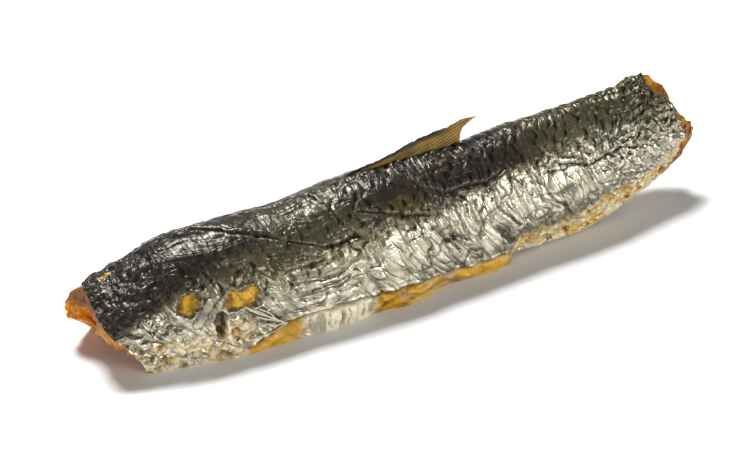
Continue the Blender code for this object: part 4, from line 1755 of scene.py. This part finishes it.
class Recipe:
    """A Geometry Nodes tree with named sizes, that turns a base mesh into a finished one."""

    def __init__(self, name: str, sizes: dict[str, float]) -> None:
        """Starts a tree.

        Args:
            name: its name.
            sizes: its inputs and their values, in metres or as counts.
        """
        self.tree = bpy.data.node_groups.new(name, "GeometryNodeTree")
        self.sizes = sizes
        face = self.tree.interface
        face.new_socket("Base", in_out="INPUT", socket_type="NodeSocketGeometry")
        for size, value in sizes.items():
            kind = "NodeSocketInt" if isinstance(value, int) else "NodeSocketFloat"
            face.new_socket(size, in_out="INPUT", socket_type=kind)
        face.new_socket("Finish", in_out="INPUT", socket_type="NodeSocketMaterial")
        face.new_socket("Result", in_out="OUTPUT", socket_type="NodeSocketGeometry")
        self.given = self.node("NodeGroupInput").outputs

    def node(
        self, kind: str, links: dict[object, object] | None = None, **settings: object
    ) -> bpy.types.Node:
        """Adds a node.

        Args:
            kind: the node's type.
            links: sockets or values for its inputs, by name or number.
            settings: its properties.

        Returns:
            The node.
        """
        made = self.tree.nodes.new(kind)
        for name, value in settings.items():
            setattr(made, name, value)
        for key, value in (links or {}).items():
            if isinstance(value, Socket):
                self.tree.links.new(value, made.inputs[key])
            else:
                made.inputs[key].default_value = value
        return made

    def finish(self, result: Socket) -> None:
        """Ends the tree: makes instances real, and sets the finish.

        Args:
            result: what the tree makes.
        """
        real = self.node("GeometryNodeRealizeInstances", {0: result})
        parts = {"Geometry": real.outputs[0], "Material": self.given["Finish"]}
        dressed = self.node("GeometryNodeSetMaterial", parts)
        self.node("NodeGroupOutput", {0: dressed.outputs[0]})

    def grow(self, name: str, base: bpy.types.Mesh, material: bpy.types.Material) -> bpy.types.Object:
        """Runs the tree on a base mesh.

        Args:
            name: the piece's name.
            base: the mesh that the tree starts from.
            material: the finish.

        Returns:
            An object with a plain mesh.
        """
        piece = bpy.data.objects.new(name, base)
        bpy.context.scene.collection.objects.link(piece)
        modifier = piece.modifiers.new("recipe", "NODES")
        modifier.node_group = self.tree
        values = {**self.sizes, "Finish": material}
        for item in self.tree.interface.items_tree:
            if item.item_type == "SOCKET" and item.in_out == "INPUT" and item.name in values:
                modifier[item.identifier] = values[item.name]
        evaluated = piece.evaluated_get(bpy.context.evaluated_depsgraph_get())
        grown = bpy.data.meshes.new_from_object(evaluated)
        piece.modifiers.clear()
        piece.data = grown
        grown.name = name
        grown.shade_smooth()
        bpy.data.meshes.remove(base)
        return piece


def path_mesh(name: str, paths: list[np.ndarray]) -> bpy.types.Mesh:
    """Paths as a mesh of edges, for a recipe to start from.

    Args:
        name: the mesh's name.
        paths: the points of each path, in millimetres.

    Returns:
        The mesh, in metres.
    """
    edges, first = [], 0
    for path in paths:
        edges.extend((first + k, first + k + 1) for k in range(len(path) - 1))
        first += len(path)
    mesh = bpy.data.meshes.new(name)
    mesh.from_pydata(in_metres(np.concatenate(paths)).tolist(), edges, [])
    return mesh


def ray_recipe(name: str, root: float, tip: float, sides: int = 6) -> Recipe:
    """Round rays along paths, thinner towards their end.

    Args:
        name: the tree's name.
        root: a ray's diameter at its root, in millimetres.
        tip: the same at its tip.
        sides: how many sides it has.

    Returns:
        The recipe.
    """
    recipe = Recipe(name, {"Root Diameter": root * MM, "Tip Diameter": tip * MM, "Sides": sides})
    given = recipe.given
    lines = recipe.node("GeometryNodeMeshToCurve", {"Mesh": given["Base"]})
    along = recipe.node("GeometryNodeSplineParameter")
    range_parts = {0: along.outputs["Factor"], 3: given["Root Diameter"], 4: given["Tip Diameter"]}
    size = recipe.node("ShaderNodeMapRange", range_parts)
    half = recipe.node("ShaderNodeMath", {0: size.outputs[0], 1: 0.5}, operation="MULTIPLY")
    ring = recipe.node("GeometryNodeCurvePrimitiveCircle", {"Resolution": given["Sides"], "Radius": 1.0})
    tube_parts = {
        "Curve": lines.outputs[0], "Profile Curve": ring.outputs[0], "Scale": half.outputs[0],
        "Fill Caps": True,
    }
    tube = recipe.node("GeometryNodeCurveToMesh", tube_parts)
    mark_parts = {"Geometry": tube.outputs[0], "Name": "ray", "Value": 1.0}
    marked = recipe.node("GeometryNodeStoreNamedAttribute", mark_parts)
    recipe.finish(marked.outputs[0])
    return recipe


@dataclass(frozen=True)
class DorsalFin:
    """The fin on the ridge, folded back: a thin membrane between rays that run to its trailing edge."""

    start: float = 61.0
    end: float = 96.3
    height: float = 6.7
    side: float = 2.2  # how far it stands to the far side of the ridge
    drop: float = 0.6  # how far its foot lies under the ridge line
    root: float = 2.5  # how far it reaches into the fish below its foot
    lag: float = 1.6  # how far the top of the trailing edge lies behind its foot
    horn: float = 5.0  # how far the tip trails behind the fin
    horn_level: float = 0.88  # how high the tip stands, as a share of the fin
    thickness: float = 0.5
    rays: int = 9
    ray_sizes: tuple[float, float] = (0.34, 0.24)  # their diameters at the root and at the tip
    ray_rise: float = 0.24  # how far their middles stand out from the middle sheet
    steps: int = 150
    levels: int = 40
    grain: Grain = Grain(53)

    def middle(self, along: np.ndarray, level: np.ndarray) -> np.ndarray:
        """The fin's middle sheet.

        Args:
            along: the share of the way from the fin's start to its end.
            level: the share of the way from its foot to its top.

        Returns:
            The points there.
        """
        x = self.start + (self.end - self.start) * along + self.lag * along**3 * level**2
        x = x + self.horn * along**16 * np.exp(-np.abs((level - self.horn_level) / 0.075) ** 1.3)
        height = self.height * (1 - (1 - along) ** 1.25)
        z = guide(RIDGE, 2, x) - self.drop - self.root * (1 - level) + height * level
        curl = 0.35 * np.sin(x / 3.1) * level + 0.5 * level**2 * along
        y = guide(RIDGE, 1, x) + self.side + curl
        return np.stack([x, y, z], axis=-1)

    def build(self, material: bpy.types.Material) -> None:
        """Makes the membrane and its rays.

        Args:
            material: their finish.
        """
        along = np.linspace(0, 1, self.steps + 1)[:, None] + np.zeros((1, self.levels + 1))
        level = np.linspace(0, 1, self.levels + 1)[None, :] + np.zeros((self.steps + 1, 1))
        middle = self.middle(along, level)
        frayed = 0.25 * self.grain.rough(middle[..., 0] / 1.1, level * 2, 3, 1) * smooth_step(level, 0.7, 1)
        middle[..., 2] += frayed
        # How far behind the leading ray a place lies, which runs evenly over the rays.
        behind = np.clip(1 - level - (1 - along), -1, 1)
        ribs = 0.5 + 0.5 * np.cos(2 * math.pi * behind * self.rays)
        dents = 0.12 * self.grain.rough(middle[..., 0] / 2, level * 4, 3, 2)
        half = self.thickness / 2 * (0.55 + 0.45 * ribs) * (1 - 0.5 * level)
        piece = PieceMesh("dorsal_fin")
        out = np.array([0.0, 1.0, 0.0])
        near = piece.add_points(middle - out * (half + dents)[..., None])
        far = piece.add_points(middle + out * (half - dents)[..., None])
        piece.add_quads(near)
        piece.add_quads(far, flip=True)
        for first, second in (
            (near[:, 0], far[:, 0]), (far[:, -1], near[:, -1]), (far[0], near[0]), (near[-1], far[-1]),
        ):
            piece.add_quads(np.stack([first, second], axis=1), flip=True)
        rim = smooth_step(level, 0.76, 0.9) * (1 - smooth_step(along, 0.78, 0.9))
        marks = {"rim": np.stack([rim, rim]), "ray": np.stack([ribs * 0.35, ribs * 0.35])}
        keep_on_fish(piece.make(marks), material)
        paths = []
        for k in range(1, self.rays):
            first = k / self.rays
            t = np.linspace(0, 1, 26)
            path = self.middle(first + (1 - first) * t * 0.995, np.clip((1 - first) * t, 0.02, 0.985))
            path[:, 1] -= self.ray_rise
            paths.append(path)
        recipe = ray_recipe("dorsal_rays", *self.ray_sizes)
        rays = recipe.grow("dorsal_rays", path_mesh("rays", paths), material)
        keep_on_fish(rays, material)


@dataclass(frozen=True)
class PectoralFin:
    """What is left of a breast fin that dried onto the skin by the tears: bright rays that run together."""

    tip: tuple[float, float] = (35.4, -0.838)
    starts: tuple[tuple[float, float], ...] = (  # (X, share) of each ray's start
        (24.2, -0.622), (25.4, -0.648), (28.4, -0.648), (27.4, -0.705), (27.8, -0.775), (30.6, -0.80),
        (25.2, -0.875),
    )
    sag: tuple[float, ...] = (0.010, 0.016, 0.0, 0.006, 0.0, -0.004, -0.02)  # in shares
    ray_sizes: tuple[float, float] = (0.46, 0.28)
    rise: float = 0.35
    grain: Grain = Grain(71)

    def build(self, form: FishForm, material: bpy.types.Material) -> None:
        """Makes the rays.

        Args:
            form: the fish's form, on which they lie.
            material: their finish.
        """
        paths = []
        t = np.linspace(0, 1, 24)
        for k, ((x, share), sag) in enumerate(zip(self.starts, self.sag)):
            wave = 0.25 * self.grain.swell(t * 3, 0 * t + k, 1)
            place_x = x + (self.tip[0] - x) * t + wave
            place_share = share + (self.tip[1] - share) * t + sag * np.sin(math.pi * t) + wave / FLANK
            height = self.rise * (0.6 + 0.4 * np.sin(math.pi * t)) - 0.35 * t
            points = form.skin.at(place_x, place_share)
            paths.append(points + form.skin.outward(place_x, place_share) * height[:, None])
        recipe = ray_recipe("breast_rays", *self.ray_sizes)
        rays = recipe.grow("breast_rays", path_mesh("breast", paths), material)
        keep_on_fish(rays, material)


@dataclass(frozen=True)
class Scutes:
    """The bumpy edge of the belly behind the vent: small fatty beads strewn over it by Geometry Nodes."""

    start: float = 105.5
    end: float = 160.0
    low: float = -0.995  # the shares of the way round that they lie between
    high: float = -0.885
    bead: float = 0.85  # half length, in millimetres
    density: float = 420000.0  # beads on a square metre
    sink: float = 0.25  # how far their middles lie under the skin

    def build(self, form: FishForm, relief: SkinRelief, material: bpy.types.Material) -> None:
        """Strews the beads on the near side's belly.

        Args:
            form: the fish's form.
            relief: the skin's relief, in which they are sunk.
            material: their finish.
        """
        x = np.linspace(self.start, self.end, 90)[:, None] + np.zeros((1, 9))
        share = np.linspace(self.low, self.high, 9)[None, :] + np.zeros((90, 1))
        height = relief.at(x, share).height - self.sink
        points = form.skin.at(x, share) + form.skin.outward(x, share) * height[..., None]
        strip = PieceMesh("belly_beads")
        strip.add_quads(strip.add_points(points))
        base = strip.make({})
        recipe = Recipe("beads", {"Bead": self.bead * MM, "Density": self.density, "Seed": 5})
        given = recipe.given
        strewn = recipe.node(
            "GeometryNodeDistributePointsOnFaces",
            {"Mesh": given["Base"], "Density": given["Density"], "Seed": given["Seed"]},
        )
        ball = recipe.node("GeometryNodeMeshIcoSphere", {"Radius": given["Bead"], "Subdivisions": 3})
        flat = recipe.node("ShaderNodeCombineXYZ", {0: 1.0, 1: 0.62, 2: 0.55})
        chance = recipe.node(
            "FunctionNodeRandomValue", {2: 0.45, 3: 1.15, "Seed": given["Seed"]}, data_type="FLOAT"
        )
        size_parts = {0: flat.outputs[0], 3: chance.outputs[1]}
        size = recipe.node("ShaderNodeVectorMath", size_parts, operation="SCALE")
        beads = recipe.node(
            "GeometryNodeInstanceOnPoints",
            {"Points": strewn.outputs["Points"], "Instance": ball.outputs[0],
             "Rotation": strewn.outputs["Rotation"], "Scale": size.outputs[0]},
        )
        recipe.finish(beads.outputs[0])
        mesh = base.data
        bpy.data.objects.remove(base)
        keep_on_fish(recipe.grow("belly_beads", mesh, material), material)


@dataclass(frozen=True)
class Studio:
    """The pale floor, the lights and the camera."""

    camera_place: Place = (-0.16004, -0.28642, 0.22494)
    camera_target: Place = (-0.0001, 0.020815, 0.0)
    lens: float = 70.0
    sensor: float = 36.0
    floor_radius: float = 2.2
    flat_share: float = 0.75  # how much of the radius is flat
    wall_height: float = 1.2
    segments: int = 96
    room_light: float = 0.02

    def build(self) -> None:
        """Sets the whole studio up."""
        self.make_floor()
        self.make_world()
        self.make_light("key", (-0.04, 0.40, 0.82), (0.34, 0.24), 14.5)
        self.make_light("front", (0.46, -0.80, 0.26), (0.50, 0.26), 4.4)
        self.make_light("side", (-0.85, -0.35, 0.32), (0.30, 0.30), 1.6)
        camera = bpy.data.objects.new("camera", bpy.data.cameras.new("camera"))
        camera.data.lens = self.lens
        camera.data.sensor_width = self.sensor
        camera.data.clip_start = 0.01
        camera.location = self.camera_place
        self.aim(camera, self.camera_target)
        bpy.context.scene.collection.objects.link(camera)
        bpy.context.scene.camera = camera
        bpy.context.scene.view_settings.view_transform = "Standard"

    @staticmethod
    def aim(thing: bpy.types.Object, target: Place) -> None:
        """Turns a camera or a light towards a place."""
        away = Vector(target) - thing.location
        thing.rotation_euler = away.to_track_quat("-Z", "Y").to_euler()

    def make_light(self, name: str, place: Place, size: tuple[float, float], power: float) -> None:
        """Adds a soft box that points at the fish.

        Args:
            name: its name.
            place: where it hangs, in metres.
            size: its width and height, in metres.
            power: its power, in watts.
        """
        lamp = bpy.data.lights.new(name, "AREA")
        lamp.shape = "RECTANGLE"
        lamp.size, lamp.size_y = size
        lamp.energy = power
        thing = bpy.data.objects.new(name, lamp)
        thing.location = place
        thing.visible_camera = False
        self.aim(thing, (0.0, 0.0, 0.015))
        bpy.context.scene.collection.objects.link(thing)

    def make_world(self) -> None:
        """Lights the room with an even, dim white."""
        world = bpy.data.worlds.new("room")
        world.use_nodes = True
        world.node_tree.nodes["Background"].inputs["Color"].default_value = (1.0, 1.0, 1.0, 1.0)
        world.node_tree.nodes["Background"].inputs["Strength"].default_value = self.room_light
        bpy.context.scene.world = world

    def make_floor(self) -> None:
        """Makes the floor, which rises into a wall far from the fish."""
        segments = self.segments
        profile = [(0.0, 0.0), (self.floor_radius * self.flat_share, 0.0)]
        for turn in np.linspace(0, math.pi / 2, 13)[1:]:
            radius = self.floor_radius * (self.flat_share + (1 - self.flat_share) * math.sin(turn))
            profile.append((radius, self.wall_height * (1 - math.cos(turn))))
        vertices = [(0.0, 0.0, 0.0)]
        for radius, height in profile[1:]:
            for k in range(segments):
                angle = 2 * math.pi * k / segments
                vertices.append((radius * math.cos(angle), radius * math.sin(angle), height))
        faces = [(0, 1 + k, 1 + (k + 1) % segments) for k in range(segments)]
        for ring in range(len(profile) - 2):
            first = 1 + ring * segments
            for k in range(segments):
                after = (k + 1) % segments
                faces.append((first + k, first + segments + k, first + segments + after, first + after))
        mesh = bpy.data.meshes.new("floor")
        mesh.from_pydata(vertices, [], faces)
        mesh.shade_smooth()
        floor = bpy.data.objects.new("floor", mesh)
        bpy.context.scene.collection.objects.link(floor)
        desk = Desk("floor")
        grey = desk.blend(desk.noise(80.0, 2.0), (0.90, 0.90, 0.90), (0.93, 0.93, 0.93))
        mesh.materials.append(desk.dress(Base_Color=grey, Roughness=0.9))


@dataclass(frozen=True)
class Herring:
    """The whole fillet."""

    seam: float = 0.25  # the share of the way round at which the two sheets of skin meet

    def build(self) -> None:
        """Builds the meat, the skin, the fins and the beads."""
        form = FishForm()
        relief = SkinRelief()
        skin = SkinFinish().make()
        Flesh().build(form, relief, FleshFinish().make())
        quick = 1
        SkinPanel("skin_near", -1.0, self.seam, 148 // quick, 576 // quick).build(form, relief, skin)
        SkinPanel("skin_far", self.seam, 1.0, 88 // quick, 576 // quick).build(form, relief, skin)
        DorsalFin().build(FinFinish().make())
        worn = FinFinish("fin_rays_pale", (0.52, 0.48, 0.36), (0.22, 0.19, 0.12), (0.66, 0.62, 0.50))
        PectoralFin().build(form, worn.make())
        Scutes().build(form, relief, BellyFinish().make())


def main() -> None:
    """Builds the studio and the fish."""
    logging.basicConfig(level=logging.INFO, format="%(name)s %(message)s")
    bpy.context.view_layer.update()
    Studio().build()
    Herring().build()
    bpy.context.view_layer.update()


if __name__ == "__main__":
    main()
